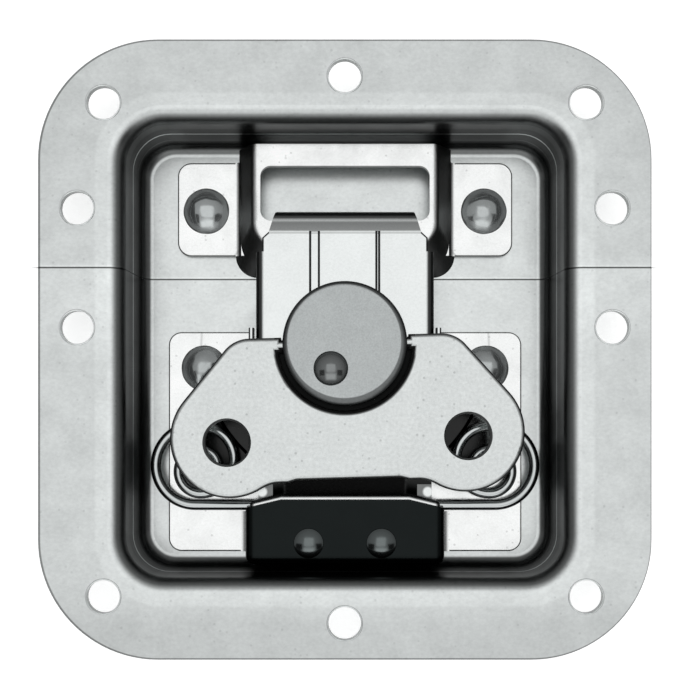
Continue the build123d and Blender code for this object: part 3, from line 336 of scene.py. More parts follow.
@dataclass(frozen=True)
class MetalSkin:
    """The grain, clouding, scratches, pits and painted shade of steep faces that all the metal finishes share.

    Attributes:
        cloud_scale: How fine the clouding is.
        scuff_scale: How fine the scratches are.
        scuff_turn: Their angle in radians.
        scuff_narrowing: How much finer they are across than along.
        scuff_tones: Noise level and strength of a scratch.
        scuff_rough: How much a scratch roughens.
        scuff_depth: How deep it is against the grain.
        pit_scale: How fine the cells are that may hold a pit.
        pit_chance: Random number above which a cell holds one.
        pit_r: Radius of a pit in its cell.
        pit_soft: Width of its edge's fade.
    """

    cloud_scale: float = 150.0
    scuff_scale: float = 160.0
    scuff_turn: float = 0.6
    scuff_narrowing: float = 14.0
    scuff_tones: Stops = ((0.0, 0.0), (0.60, 0.0), (0.68, 1.0))
    scuff_rough: float = 0.5
    scuff_depth: float = 0.2
    pit_scale: float = 900.0
    pit_chance: float = 0.86
    pit_r: float = 0.2
    pit_soft: float = 0.16

    def group(self) -> bpy.types.NodeTree:
        """Builds the shader node group.

        Returns:
            The group.
        """
        tree = bpy.data.node_groups.new("metal skin", "ShaderNodeTree")
        group_inputs(
            tree,
            {
                "Colour": ("NodeSocketColor", (0.8, 0.8, 0.8, 1.0)),
                "Roughness": ("NodeSocketFloat", 0.3),
                "Grain Scale": ("NodeSocketFloat", 3000.0),
                "Grain Depth": ("NodeSocketFloat", 0.1),
                "Clouding": ("NodeSocketFloat", 0.1),
                "Scratches": ("NodeSocketFloat", 0.1),
                "Stretch": ("NodeSocketVector", (1.0, 1.0, 1.0)),
                "Pits": ("NodeSocketFloat", 0.0),
                "Steep Shade": ("NodeSocketFloat", 1.0),
                "Steep Roughness": ("NodeSocketFloat", 0.0),
                "Steep From": ("NodeSocketFloat", 0.78),
            },
        )
        for name, kind in (("Colour", "Color"), ("Roughness", "Float"), ("Height", "Float")):
            tree.interface.new_socket(name=name, in_out="OUTPUT", socket_type="NodeSocket" + kind)
        kit = Nodes(tree)
        given = kit.add("NodeGroupInput").outputs
        place = kit.add("ShaderNodeTexCoord").outputs["Object"]
        cloudy = self.cloudy(kit, given, place)
        grainy = self.grainy(kit, given, place)
        scratch = self.scratch(kit, place)
        steep = self.steep(kit, given)
        pit = kit.both(self.pit(kit, place), given["Pits"])
        gain = kit.math("SUBTRACT", kit.math("ADD", kit.math("ADD", 1.0, cloudy), grainy), pit)
        # Painted shade: the steep faces take a darker tone.
        gain = kit.both(gain, kit.level(steep, 1.0, given["Steep Shade"]))
        scratched = kit.both(scratch, given["Scratches"])
        rougher = kit.math("SUBTRACT", kit.math("MULTIPLY", scratched, self.scuff_rough), cloudy)
        rough = kit.math("ADD", given["Roughness"], rougher)
        rough = kit.math("ADD", rough, kit.both(steep, given["Steep Roughness"]))
        out = kit.add("NodeGroupOutput")
        kit.put(out, "Colour", kit.scaled(given["Colour"], gain))
        kit.put(out, "Roughness", rough)
        scuffed = kit.math("MULTIPLY", scratched, self.scuff_depth)
        kit.put(out, "Height", kit.math("SUBTRACT", grainy, scuffed))
        return tree

    def cloudy(self, kit: Nodes, given: bpy.types.NodeInputs, place: Socket) -> Socket:
        """Slow change of tone, about 0."""
        cloud = kit.add(
            "ShaderNodeTexNoise", Vector=place, Scale=self.cloud_scale, Detail=4.0, Roughness=0.6,
            Distortion=0.3,
        )
        return kit.both(kit.math("SUBTRACT", cloud.outputs["Fac"], 0.5), given["Clouding"])

    @staticmethod
    def grainy(kit: Nodes, given: bpy.types.NodeInputs, place: Socket) -> Socket:
        """Fine grain, about 0."""
        stretched = kit.add("ShaderNodeMapping", Vector=place, Scale=given["Stretch"]).outputs[0]
        grain = kit.add(
            "ShaderNodeTexNoise", Vector=stretched, Scale=given["Grain Scale"], Detail=3.0, Roughness=0.6
        )
        return kit.both(kit.math("SUBTRACT", grain.outputs["Fac"], 0.5), given["Grain Depth"])

    def scratch(self, kit: Nodes, place: Socket) -> Socket:
        """A mask of the fine scratches."""
        turned = kit.add(
            "ShaderNodeMapping", Vector=place, Rotation=(0.0, 0.0, self.scuff_turn),
            Scale=(1.0, self.scuff_narrowing, 1.0),
        ).outputs[0]
        scuffs = kit.add(
            "ShaderNodeTexNoise", Vector=turned, Scale=self.scuff_scale, Detail=5.0, Roughness=0.7,
            Distortion=0.8,
        )
        return kit.tones(scuffs.outputs["Fac"], self.scuff_tones, 0.0, 1.0)

    @staticmethod
    def steep(kit: Nodes, given: bpy.types.NodeInputs) -> Socket:
        """How steep the surface is, from 0 where it lies flat."""
        fade = kit.math("MULTIPLY", kit.math("SUBTRACT", 1.0, given["Steep From"]), 2.0)
        lean = kit.math("SUBTRACT", 1.0, kit.math("ABSOLUTE", kit.facing()[2]))
        return kit.add("ShaderNodeClamp", Value=kit.math("DIVIDE", lean, fade)).outputs[0]

    def pit(self, kit: Nodes, place: Socket) -> Socket:
        """A mask of a few tiny pits."""
        cells = kit.add("ShaderNodeTexVoronoi", Vector=place, Scale=self.pit_scale).outputs
        dealt = kit.add("ShaderNodeSeparateColor", Color=cells["Color"]).outputs[0]
        spot = kit.band(cells["Distance"], -self.pit_r, self.pit_r, self.pit_soft)
        return kit.both(spot, kit.math("GREATER_THAN", dealt, self.pit_chance))


@dataclass(frozen=True)
class Metal:
    """A bare, plated or painted metal finish.

    Attributes:
        name: The record's material slot.
        colour: Base colour.
        roughness: Of the plain surface.
        surface: How the surface was left.
        metallic: 1 for bare or plated metal, 0 for paint.
        grain_scale: How fine the grain is.
        grain: How strong it is.
        clouding: Slow change of tone.
        scratches: Strength of the fine scuffs.
        bump: Height of the grain in metres.
        coat: Clear coat over a paint.
        pits: How dark its few tiny pits are.
        steep: Painted shade: tone of the steep faces, against the flat.
        steep_rough: How much rougher they are.
        steep_from: Upright part of the direction at which the steep faces begin.
    """

    name: str
    colour: Colour
    roughness: float
    surface: Surface = Surface.ROLLED
    metallic: float = 1.0
    grain_scale: float = 2500.0
    grain: float = 0.1
    clouding: float = 0.1
    scratches: float = 0.1
    bump: float = 0.00001
    coat: float = 0.0
    pits: float = 0.0
    steep: float = 1.0
    steep_rough: float = 0.0
    steep_from: float = 0.78

    def make(self, skin: bpy.types.NodeTree) -> bpy.types.Material:
        """Builds the material.

        Args:
            skin: The shared metal skin group.

        Returns:
            The material.
        """
        material = bpy.data.materials.new(self.name)
        material.use_nodes = True
        kit = Nodes(material.node_tree)
        shader = material.node_tree.nodes["Principled BSDF"]
        group = kit.add("ShaderNodeGroup", {"node_tree": skin})
        for name, value in (
            ("Colour", (*self.colour, 1.0)), ("Roughness", self.roughness), ("Grain Scale", self.grain_scale),
            ("Grain Depth", self.grain), ("Clouding", self.clouding), ("Scratches", self.scratches),
            ("Stretch", GRAIN_STRETCH[self.surface]), ("Pits", self.pits), ("Steep Shade", self.steep),
            ("Steep Roughness", self.steep_rough), ("Steep From", self.steep_from),
        ):
            kit.put(group, name, value)
        kit.put(shader, "Base Color", self.marks_and_painted_light(kit, group.outputs["Colour"]))
        kit.put(shader, "Roughness", group.outputs["Roughness"])
        dull = self.dull(kit)
        if dull is not None:
            kit.put(shader, "Roughness", kit.math("MAXIMUM", group.outputs["Roughness"], dull))
            kit.put(shader, "Metallic", kit.level(dull, self.metallic, 0.0))
        bump = kit.add("ShaderNodeBump", Height=group.outputs["Height"], Distance=self.bump, Strength=1.0)
        kit.put(shader, "Normal", bump.outputs[0])
        shader.inputs["Metallic"].default_value = self.metallic
        shader.inputs["Coat Weight"].default_value = self.coat
        return material

    def marks_and_painted_light(self, kit: Nodes, colour: Socket) -> Socket:
        """The finish's own marks and its painted light and shade over its plain colour; none on a plain metal.

        Args:
            kit: The material's nodes.
            colour: The plain colour.

        Returns:
            The marked colour's socket.
        """
        return colour

    def dull(self, kit: Nodes) -> Socket | None:
        """Where the piece mirrors little or nothing.

        Args:
            kit: The material's nodes.

        Returns:
            The mask's socket, or None for nowhere.
        """
        return None


@dataclass(frozen=True)
class DrawnDish(Metal):
    """The dish's sheet: walls toned dark as a painted reflection, with fine light rings, and a flange with
    broad, quiet painted light and shade.

    Attributes:
        depth: Level of the flange's face in millimetres.
        floor: Level of the floor's face.
        floor_light: Tone of the floor's face, about its level.
        wall_reflection_tones: Painted reflection: level and tone of the wall's inside, from the floor to the
            flange.
        inward: How far in, on the whole, a wall has to face.
        rings: Level and strength of each light ring on the wall.
        ring_half: Half a ring's height.
        ring_soft: Width of its fade.
        flange_from: Level above which a face is the flange's.
        flange_light_tones: Painted light and shade: Y and tone up the flange.
        glow: Painted highlight: tone of the flange close round the mouth.
        mouth: Outline of the dish's mouth.
        mouth_edge: How far outside that outline the mouth still reaches.
        flange: Outline of the flange.
        edge_shade_line: Painted shade: the dark line along the flange's edge.
        edge_shift: How much wider that painted shade is on the left than on the right.
        seam: Where the dish is cut across.
        seam_line: The dark line of the cut.
        seam_highlight: Painted highlight: the light line beside it.
        lip: Painted highlight: tone of the lips round the holes, above the flange.
        hole_wall: Painted shade: tone of the holes' walls, below the flange.
        upright: Upright part of the direction below which a face is a wall.
    """

    depth: float = 15.2
    floor: float = 1.2
    floor_light: Mark = Mark(-0.2, 0.2, 0.1, 1.10)
    wall_reflection_tones: Stops = (
        (1.22, 1.0), (1.32, 0.20), (1.75, 0.24), (2.3, 0.08), (3.2, 0.02), (10.3, 0.02), (10.9, 0.06),
        (12.8, 0.08), (13.8, 0.20), (14.70, 0.38), (14.98, 0.88), (15.19, 1.0),
    )
    inward: float = 3.0
    rings: Stops = ((8.2, 0.70), (5.2, 0.08))
    ring_half: float = 0.14
    ring_soft: float = 0.2
    flange_from: float = 14.95
    flange_light_tones: Stops = (
        (-55.6, 0.86), (-49.5, 0.86), (-44.5, 0.99), (0.0, 1.0), (7.0, 1.07), (14.0, 1.10), (17.0, 1.03),
        (30.0, 1.0), (46.0, 1.0), (55.6, 1.06),
    )
    glow: Mark = Mark(-1.0, 2.0, 0.8, 1.10)
    mouth: Outline = Outline(42.8, 44.1, 10.2)
    mouth_edge: float = 0.2
    flange: Outline = Outline(55.0, 55.6, 21.5)
    edge_shade_line: Mark = Mark(-0.26, 1.0, 0.14, 0.38)
    edge_shift: float = 0.12
    seam: float = 14.7
    seam_line: Mark = Mark(-0.14, 0.14, 0.08, 0.22)
    seam_highlight: Mark = Mark(0.22, 0.50, 0.08, 1.10)
    lip: Mark = Mark(0.02, 1.0, 0.02, 1.22)
    hole_wall: Mark = Mark(-1.4, -0.02, 0.02, 0.35)
    upright: float = 0.35

    def marks_and_painted_light(self, kit: Nodes, colour: Socket) -> Socket:
        """Lays the painted light and shade of the flange, the walls, the holes and the flange's edge, the
        floor's tone and the cut's lines.
        """
        x, y, height = kit.place()
        past_mouth = kit.rounded_distance(x, y, self.mouth)
        in_mouth = kit.below(past_mouth, self.mouth_edge, 0.1)
        # Painted light and shade on the flange, with a painted highlight round the mouth.
        broad = kit.both(self.up_flange(kit, y), kit.mark(past_mouth, self.glow))
        colour = kit.scaled(colour, kit.level(kit.above(height, self.flange_from, 0.05), 1.0, broad))
        # Painted reflection: the wall's inside is toned dark.
        wall = kit.level(kit.both(self.inside(kit, x, y), in_mouth), 1.0, self.up_wall(kit, height))
        gain = kit.both(kit.mark(height, self.floor_light, self.floor), wall)
        # The cut's dark line, with a painted highlight beside it.
        lines = kit.both(kit.mark(y, self.seam_line, self.seam), kit.mark(y, self.seam_highlight, self.seam))
        gain = kit.both(gain, lines)
        # Painted shade along the flange's edge, wider on the left.
        edge = kit.rounded_distance(kit.math("SUBTRACT", x, self.edge_shift), y, self.flange)
        gain = kit.both(gain, kit.mark(edge, self.edge_shade_line))
        # Painted highlight on the lips round the holes.
        gain = kit.both(gain, kit.mark(height, self.lip, self.depth))
        # Painted shade on the holes' walls.
        punched = kit.both(self.in_holes(kit, height), kit.math("SUBTRACT", 1.0, in_mouth))
        return kit.scaled(colour, kit.both(gain, kit.level(punched, 1.0, self.hole_wall.tone)))

    def inside(self, kit: Nodes, x: Socket, y: Socket) -> Socket:
        """A mask of the faces that look towards the dish's middle."""
        across, along, _ = kit.facing()
        outward = kit.math("ADD", kit.both(across, x), kit.both(along, y))
        return kit.below(outward, -self.inward, self.inward)

    def up_wall(self, kit: Nodes, height: Socket) -> Socket:
        """Painted reflection up the wall, with its rings."""
        tone = kit.tones(height, self.wall_reflection_tones, 0.0, self.depth)
        for level, strength in self.rings:
            ring = kit.band(height, level - self.ring_half, level + self.ring_half, self.ring_soft)
            tone = kit.math("ADD", tone, kit.math("MULTIPLY", ring, strength))
        return tone

    def up_flange(self, kit: Nodes, y: Socket) -> Socket:
        """Broad painted light and shade up the flange."""
        return kit.tones(y, self.flange_light_tones, self.flange_light_tones[0][0], self.flange_light_tones[-1][0], 2.0)

    def in_holes(self, kit: Nodes, height: Socket) -> Socket:
        """A mask of the walls close below the flange's face, where shade is painted."""
        low, high = self.depth + self.hole_wall.low, self.depth + self.hole_wall.high
        wall = kit.below(kit.math("ABSOLUTE", kit.facing()[2]), self.upright, 0.2)
        return kit.both(kit.band(height, low, high, self.hole_wall.soft), wall)


@dataclass(frozen=True)
class PlateSteel(Metal):
    """The riveted plates: painted shade round each coil of the spring, and a faint dark arc round the turret.

    Attributes:
        coil_shade: Middle of the right coil's painted shade in millimetres; the left one mirrors it.
        coil_shade_mark: Reach and tone of that painted shade.
        arc_centre: Middle of the arc.
        arc_r: Its radius.
        arc_half: Half its width.
        arc_dark: How much darker it is.
        sheet: Levels between which it lies.
    """

    coil_shade: tuple[float, float] = (22.1, -16.1)
    coil_shade_mark: Mark = Mark(-5.6, 5.6, 1.6, 0.03)
    arc_centre: tuple[float, float] = (0.0, 1.4)
    arc_r: float = 27.6
    arc_half: float = 0.2
    arc_dark: float = 0.25
    sheet: tuple[float, float] = (1.0, 2.6)

    def marks_and_painted_light(self, kit: Nodes, colour: Socket) -> Socket:
        """Lays the painted shade round the coils, and the arc."""
        x, y, height = kit.place()
        # Painted shade round each coil of the spring.
        gain = kit.mark(kit.distance(kit.math("ABSOLUTE", x), y, self.coil_shade), self.coil_shade_mark)
        reach = kit.distance(x, y, self.arc_centre)
        arc = kit.band(reach, self.arc_r - self.arc_half, self.arc_r + self.arc_half, 0.3)
        arc = kit.both(arc, kit.band(height, *self.sheet, 0.1))
        return kit.scaled(colour, kit.math("SUBTRACT", gain, kit.math("MULTIPLY", arc, self.arc_dark)))


@dataclass(frozen=True)
class HandlePlate(Metal):
    """The butterfly handle: painted shade in the notch's wall and round it, and mottled painted shade along
    the waist's edge.

    Attributes:
        notch: Middle of the notch in millimetres.
        notch_r: How far from it the notch's wall reaches.
        notch_shade: Painted shade: tone of that wall.
        face: Level of the handle's face.
        halo_width: How far past the wall the painted shade round it reaches.
        halo_drop: How far below the notch's middle that painted shade ends.
        halo_shade: Tone of that painted shade.
        waist_y: Where the waist's edge is.
        waist_x: Half the waist's width.
        waist_shade: Painted shade: tone of the edge.
        mottle_scale: How fine the mottling is.
        mottle: How far it shifts the edge.
    """

    notch: tuple[float, float] = (0.0, 1.4)
    notch_r: float = 12.95
    notch_shade: float = 0.02
    face: float = 12.0
    halo_width: float = 0.2
    halo_drop: float = 2.0
    halo_shade: float = 0.35
    waist_y: float = -24.2
    waist_x: float = 13.0
    waist_shade: float = 0.52
    mottle_scale: float = 900.0
    mottle: float = 1.6

    def marks_and_painted_light(self, kit: Nodes, colour: Socket) -> Socket:
        """Lays the painted shade of the notch's wall, of the edge round it and of the waist."""
        x, y, _ = kit.place()
        gain = kit.both(kit.level(self.dull(kit), 1.0, self.notch_shade), self.waist(kit, x, y))
        # Painted shade round the notch, below its middle.
        near = kit.below(kit.distance(x, y, self.notch), self.notch_r + self.halo_width, 0.35)
        halo = kit.both(near, kit.below(y, self.notch[1] - self.halo_drop, 0.8))
        return kit.scaled(colour, kit.both(gain, kit.level(halo, 1.0, self.halo_shade)))

    def waist(self, kit: Nodes, x: Socket, y: Socket) -> Socket:
        """Painted shade along the waist's edge, with a mottled boundary."""
        along = kit.below(kit.math("ABSOLUTE", x), self.waist_x, 2.0)
        place = kit.add("ShaderNodeTexCoord").outputs["Object"]
        noise = kit.add("ShaderNodeTexNoise", Vector=place, Scale=self.mottle_scale).outputs["Fac"]
        wander = kit.math("MULTIPLY", kit.math("SUBTRACT", noise, 0.5), self.mottle)
        edge = kit.both(along, kit.below(kit.math("ADD", y, wander), self.waist_y, 0.5))
        return kit.level(edge, 1.0, self.waist_shade)

    def dull(self, kit: Nodes) -> Socket:
        """The notch's wall."""
        x, y, height = kit.place()
        lower = kit.below(height, self.face - 0.10, 0.1)
        return kit.both(lower, kit.below(kit.distance(x, y, self.notch), self.notch_r, 0.1))


@dataclass(frozen=True)
class CarrierSteel(Metal):
    """The hook plate and its carrier: painted shade at the ramp under the hood, on the arms and in a ring
    below the turret, and painted light and shade down the hooked lip.

    Attributes:
        ramp_x: Half the dark ramp's width in millimetres.
        ramp_y: Where it starts.
        ramp_shade: Painted shade: tone of the ramp and of the ring below the turret.
        arms_y: Where the painted shade of the arms beside it starts.
        arms_shade: Painted shade: tone of the arms.
        unshaded_spot: Middle of the spot on the right arm that is left out of the painted shade; the left one
            mirrors it.
        unshaded_spot_r: Radius of that spot.
        turret: Middle of the turret.
        turret_r: Radius of the ring of painted shade.
        turret_up: How far above the turret's middle the ring ends.
        lip_light_tones: Painted light and shade: Y and tone down the hooked lip.
    """

    ramp_x: float = 11.5
    ramp_y: float = -21.5
    ramp_shade: float = 0.02
    arms_y: float = -23.0
    arms_shade: float = 0.22
    unshaded_spot: tuple[float, float] = (15.6, -26.0)
    unshaded_spot_r: float = 0.9
    turret: tuple[float, float] = (0.0, 1.4)
    turret_r: float = 12.6
    turret_up: float = 0.8
    lip_light_tones: Stops = (
        (22.0, 1.0), (22.2, 0.62), (22.5, 0.86), (22.9, 0.70), (24.2, 0.56), (24.7, 1.3), (25.2, 1.8),
    )

    def marks_and_painted_light(self, kit: Nodes, colour: Socket) -> Socket:
        """Lays the painted light and shade of the lip, the arms, the ramp and the ring."""
        x, y, _ = kit.place()
        # Painted light and shade down the hooked lip's curl.
        tone = kit.tones(y, self.lip_light_tones, self.lip_light_tones[0][0], self.lip_light_tones[-1][0], 2.0)
        side = kit.math("ABSOLUTE", x)
        # Painted shade on the arms beside the ramp, but for one spot on each.
        arms = kit.both(kit.above(side, self.ramp_x, 0.2), kit.below(y, self.arms_y, 0.5))
        unshaded_spot = kit.below(kit.distance(side, y, self.unshaded_spot), self.unshaded_spot_r, 0.5)
        dark_arms = kit.both(arms, kit.level(unshaded_spot, 1.0, 0.0))
        tone = kit.both(tone, kit.level(dark_arms, 1.0, self.arms_shade))
        # Painted shade on the ramp under the hood and in the ring below the turret.
        return kit.scaled(colour, kit.both(tone, kit.level(self.dull(kit), 1.0, self.ramp_shade)))

    def dull(self, kit: Nodes) -> Socket:
        """The ramp, and the ring below the turret."""
        x, y, _ = kit.place()
        ramp = kit.both(kit.below(kit.math("ABSOLUTE", x), self.ramp_x, 1.0), kit.below(y, self.ramp_y, 0.8))
        ring = kit.below(kit.distance(x, y, self.turret), self.turret_r, 0.05)
        return kit.math("MAXIMUM", ramp, kit.both(ring, kit.below(y, self.turret[1] + self.turret_up, 0.3)))


@dataclass(frozen=True)
class RivetSteel(Metal):
    """The steel rivets: painted shade on the rims, dull sides on the plates, and a darker crank rivet on the
    disc.

    Attributes:
        disc_top: Level of the disc's face in millimetres.
        crank: Tone of the crank rivet.
        dull_from: Upright part of the direction below which a head is dull.
        dullness: How dull it is there.
        rim_from: Upright part of the direction below which shade is painted on the rim.
        rim: Tone of the painted shade on that rim.
    """

    disc_top: float = 12.85
    crank: float = 0.45
    dull_from: float = 0.82
    dullness: float = 0.26
    rim_from: float = 0.68
    rim: float = 0.35

    def marks_and_painted_light(self, kit: Nodes, colour: Socket) -> Socket:
        """Lays the tone of the crank rivet and the painted shade on every rivet's very rim."""
        # Painted shade on each head's rim.
        rim = kit.level(kit.band(kit.facing()[2], STRAIGHT_DOWN, self.rim_from, 0.03), 1.0, self.rim)
        crank = kit.level(kit.above(kit.place()[2], self.disc_top, 0.05), 1.0, self.crank)
        return kit.scaled(colour, kit.both(rim, crank))

    def dull(self, kit: Nodes) -> Socket:
        """The dull sides of the heads on the plates."""
        sides = kit.band(kit.facing()[2], STRAIGHT_DOWN, self.dull_from, 0.14)
        on_plates = kit.below(kit.place()[2], self.disc_top, 0.05)
        return kit.math("MULTIPLY", kit.both(on_plates, sides), self.dullness)


@dataclass(frozen=True)
class CastDisc(Metal):
    """Sandy cast metal: painted shade on the rim below the handle and on the disc's rounded edge.

    Attributes:
        rim_top: Level of the rim's top in millimetres.
        rim: Tone of the painted shade on the rim.
        lit: Middle of the light part of the face.
        lit_r: Radius of that part.
        edge: Tone of the painted shade outside it, on the rounded edge.
    """

    rim_top: float = 9.95
    rim: float = 0.05
    lit: tuple[float, float] = (-0.12, 1.75)
    lit_r: float = 10.35
    edge: float = 0.34

    def marks_and_painted_light(self, kit: Nodes, colour: Socket) -> Socket:
        """Lays the painted shade of the rim and of the disc's rounded edge."""
        x, y, height = kit.place()
        # Painted shade on the rim below the handle, and round the disc's lit face.
        rim = kit.level(kit.below(height, self.rim_top, 0.1), 1.0, self.rim)
        lit = kit.below(kit.distance(x, y, self.lit), self.lit_r, 0.25)
        return kit.scaled(colour, kit.both(rim, kit.level(lit, self.edge, 1.0)))


FINISHES = (
    DrawnDish(
        "dish_steel", (0.735, 0.765, 0.76), 0.32, grain=0.30, grain_scale=1600.0, clouding=0.16, pits=0.12
    ),
    PlateSteel(
        "plate_steel", (0.95, 0.965, 0.96), 0.22, grain=0.16, clouding=0.24, pits=0.2, steep=0.18,
        steep_rough=0.1, steep_from=0.93,
    ),
    CarrierSteel(
        "hook_steel", (0.85, 0.88, 0.875), 0.20, grain=0.16, steep=0.12, steep_rough=0.1, steep_from=0.975
    ),
    HandlePlate(
        "handle_steel", (0.72, 0.75, 0.745), 0.26, Surface.TUMBLED, grain=0.40, grain_scale=1500.0, pits=0.25,
        steep=0.35, steep_rough=0.1, steep_from=0.88,
    ),
    RivetSteel("rivet_steel", (0.52, 0.55, 0.55), 0.11, Surface.TUMBLED, metallic=0.88, clouding=0.5),
    Metal("spring_wire", (0.62, 0.65, 0.65), 0.14, Surface.DRAWN, steep=0.25),
    CastDisc(
        "cast_disc", (0.56, 0.59, 0.59), 0.42, Surface.SANDY, grain=0.55, grain_scale=3600.0, steep=0.3
    ),
    Metal("black_sheet", (0.014, 0.017, 0.017), 0.28, Surface.TUMBLED),
    Metal("black_rivet", (0.16, 0.18, 0.18), 0.16, Surface.TUMBLED),
)


# ---- Geometry-node pieces ----

Sizes = dict[str, float]


@dataclass
class NodeForm:
    """A piece that a Geometry Nodes tree makes: the tree, its sizes, and the mesh that it leaves.

    Attributes:
        name: The piece's name.
        body: The body that it rides on.
        slot: The record's material slot.
        replaced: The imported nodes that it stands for.
    """

    name: str
    body: str
    slot: str
    replaced: tuple[str, ...] = ()

    def tree(self, sizes: Sizes) -> tuple[Nodes, bpy.types.NodeInputs]:
        """Starts a tree with a geometry input, named sizes and a material.

        Args:
            sizes: Starting value of each size by name, in metres; whole numbers stay whole.

        Returns:
            The tree's nodes, and the sockets of its group input.
        """
        tree = bpy.data.node_groups.new(self.name, "GeometryNodeTree")
        tree.interface.new_socket(name="Geometry", in_out="INPUT", socket_type="NodeSocketGeometry")
        for name, value in sizes.items():
            kind = "NodeSocketInt" if isinstance(value, int) else "NodeSocketFloat"
            tree.interface.new_socket(name=name, in_out="INPUT", socket_type=kind).default_value = value
        tree.interface.new_socket(name="Material", in_out="INPUT", socket_type="NodeSocketMaterial")
        tree.interface.new_socket(name="Geometry", in_out="OUTPUT", socket_type="NodeSocketGeometry")
        kit = Nodes(tree)
        return kit, kit.add("NodeGroupInput").outputs

    def close(self, kit: Nodes, given: bpy.types.NodeInputs, geometry: Socket) -> None:
        """Ends a tree: real copies, smooth faces and the material.

        Args:
            kit: The tree's nodes.
            given: The sockets of its group input.
            geometry: What it made.
        """
        real = kit.add("GeometryNodeRealizeInstances", Geometry=geometry).outputs[0]
        smooth = kit.add("GeometryNodeSetShadeSmooth")
        kit.put(smooth, 0, real)
        dressed = kit.add("GeometryNodeSetMaterial")
        kit.put(dressed, "Geometry", smooth.outputs[0])
        kit.put(dressed, "Material", given["Material"])
        kit.put(kit.add("NodeGroupOutput"), "Geometry", dressed.outputs[0])

    def bake(
        self, seed: bpy.types.Object, kit: Nodes, sizes: Sizes, material: bpy.types.Material
    ) -> bpy.types.Object:
        """Runs the tree on its seed object and keeps the result as a plain piece.

        Args:
            seed: The object with the tree's points or path.
            kit: The tree's nodes.
            sizes: Its sizes.
            material: Its finish.

        Returns:
            The piece, riding on its body.
        """
        modifier = seed.modifiers.new(self.name, "NODES")
        modifier.node_group = kit.tree
        values = {**sizes, "Material": material}
        for item in kit.tree.interface.items_tree:
            if item.item_type == "SOCKET" and item.in_out == "INPUT" and item.name in values:
                modifier[item.identifier] = values[item.name]
        bpy.context.view_layer.update()
        graph = bpy.context.evaluated_depsgraph_get()
        mesh = bpy.data.meshes.new_from_object(seed.evaluated_get(graph), depsgraph=graph)
        seed.modifiers.clear()
        bpy.data.objects.remove(seed)
        mesh.name = self.name
        piece = bpy.data.objects.new(self.name, mesh)
        bpy.context.scene.collection.objects.link(piece)
        if self.replaced:
            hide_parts(*self.replaced)
        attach(piece, self.body)
        LOG.info("made %s: %d faces", self.name, len(mesh.polygons))
        return piece

    def points(self, places: list[tuple[float, float, float]]) -> bpy.types.Object:
        """A seed object with one vertex for each place.

        Args:
            places: The places in metres.

        Returns:
            The seed object.
        """
        mesh = bpy.data.meshes.new(self.name + " places")
        mesh.from_pydata(places, [], [])
        seed = bpy.data.objects.new(self.name + " places", mesh)
        bpy.context.scene.collection.objects.link(seed)
        return seed


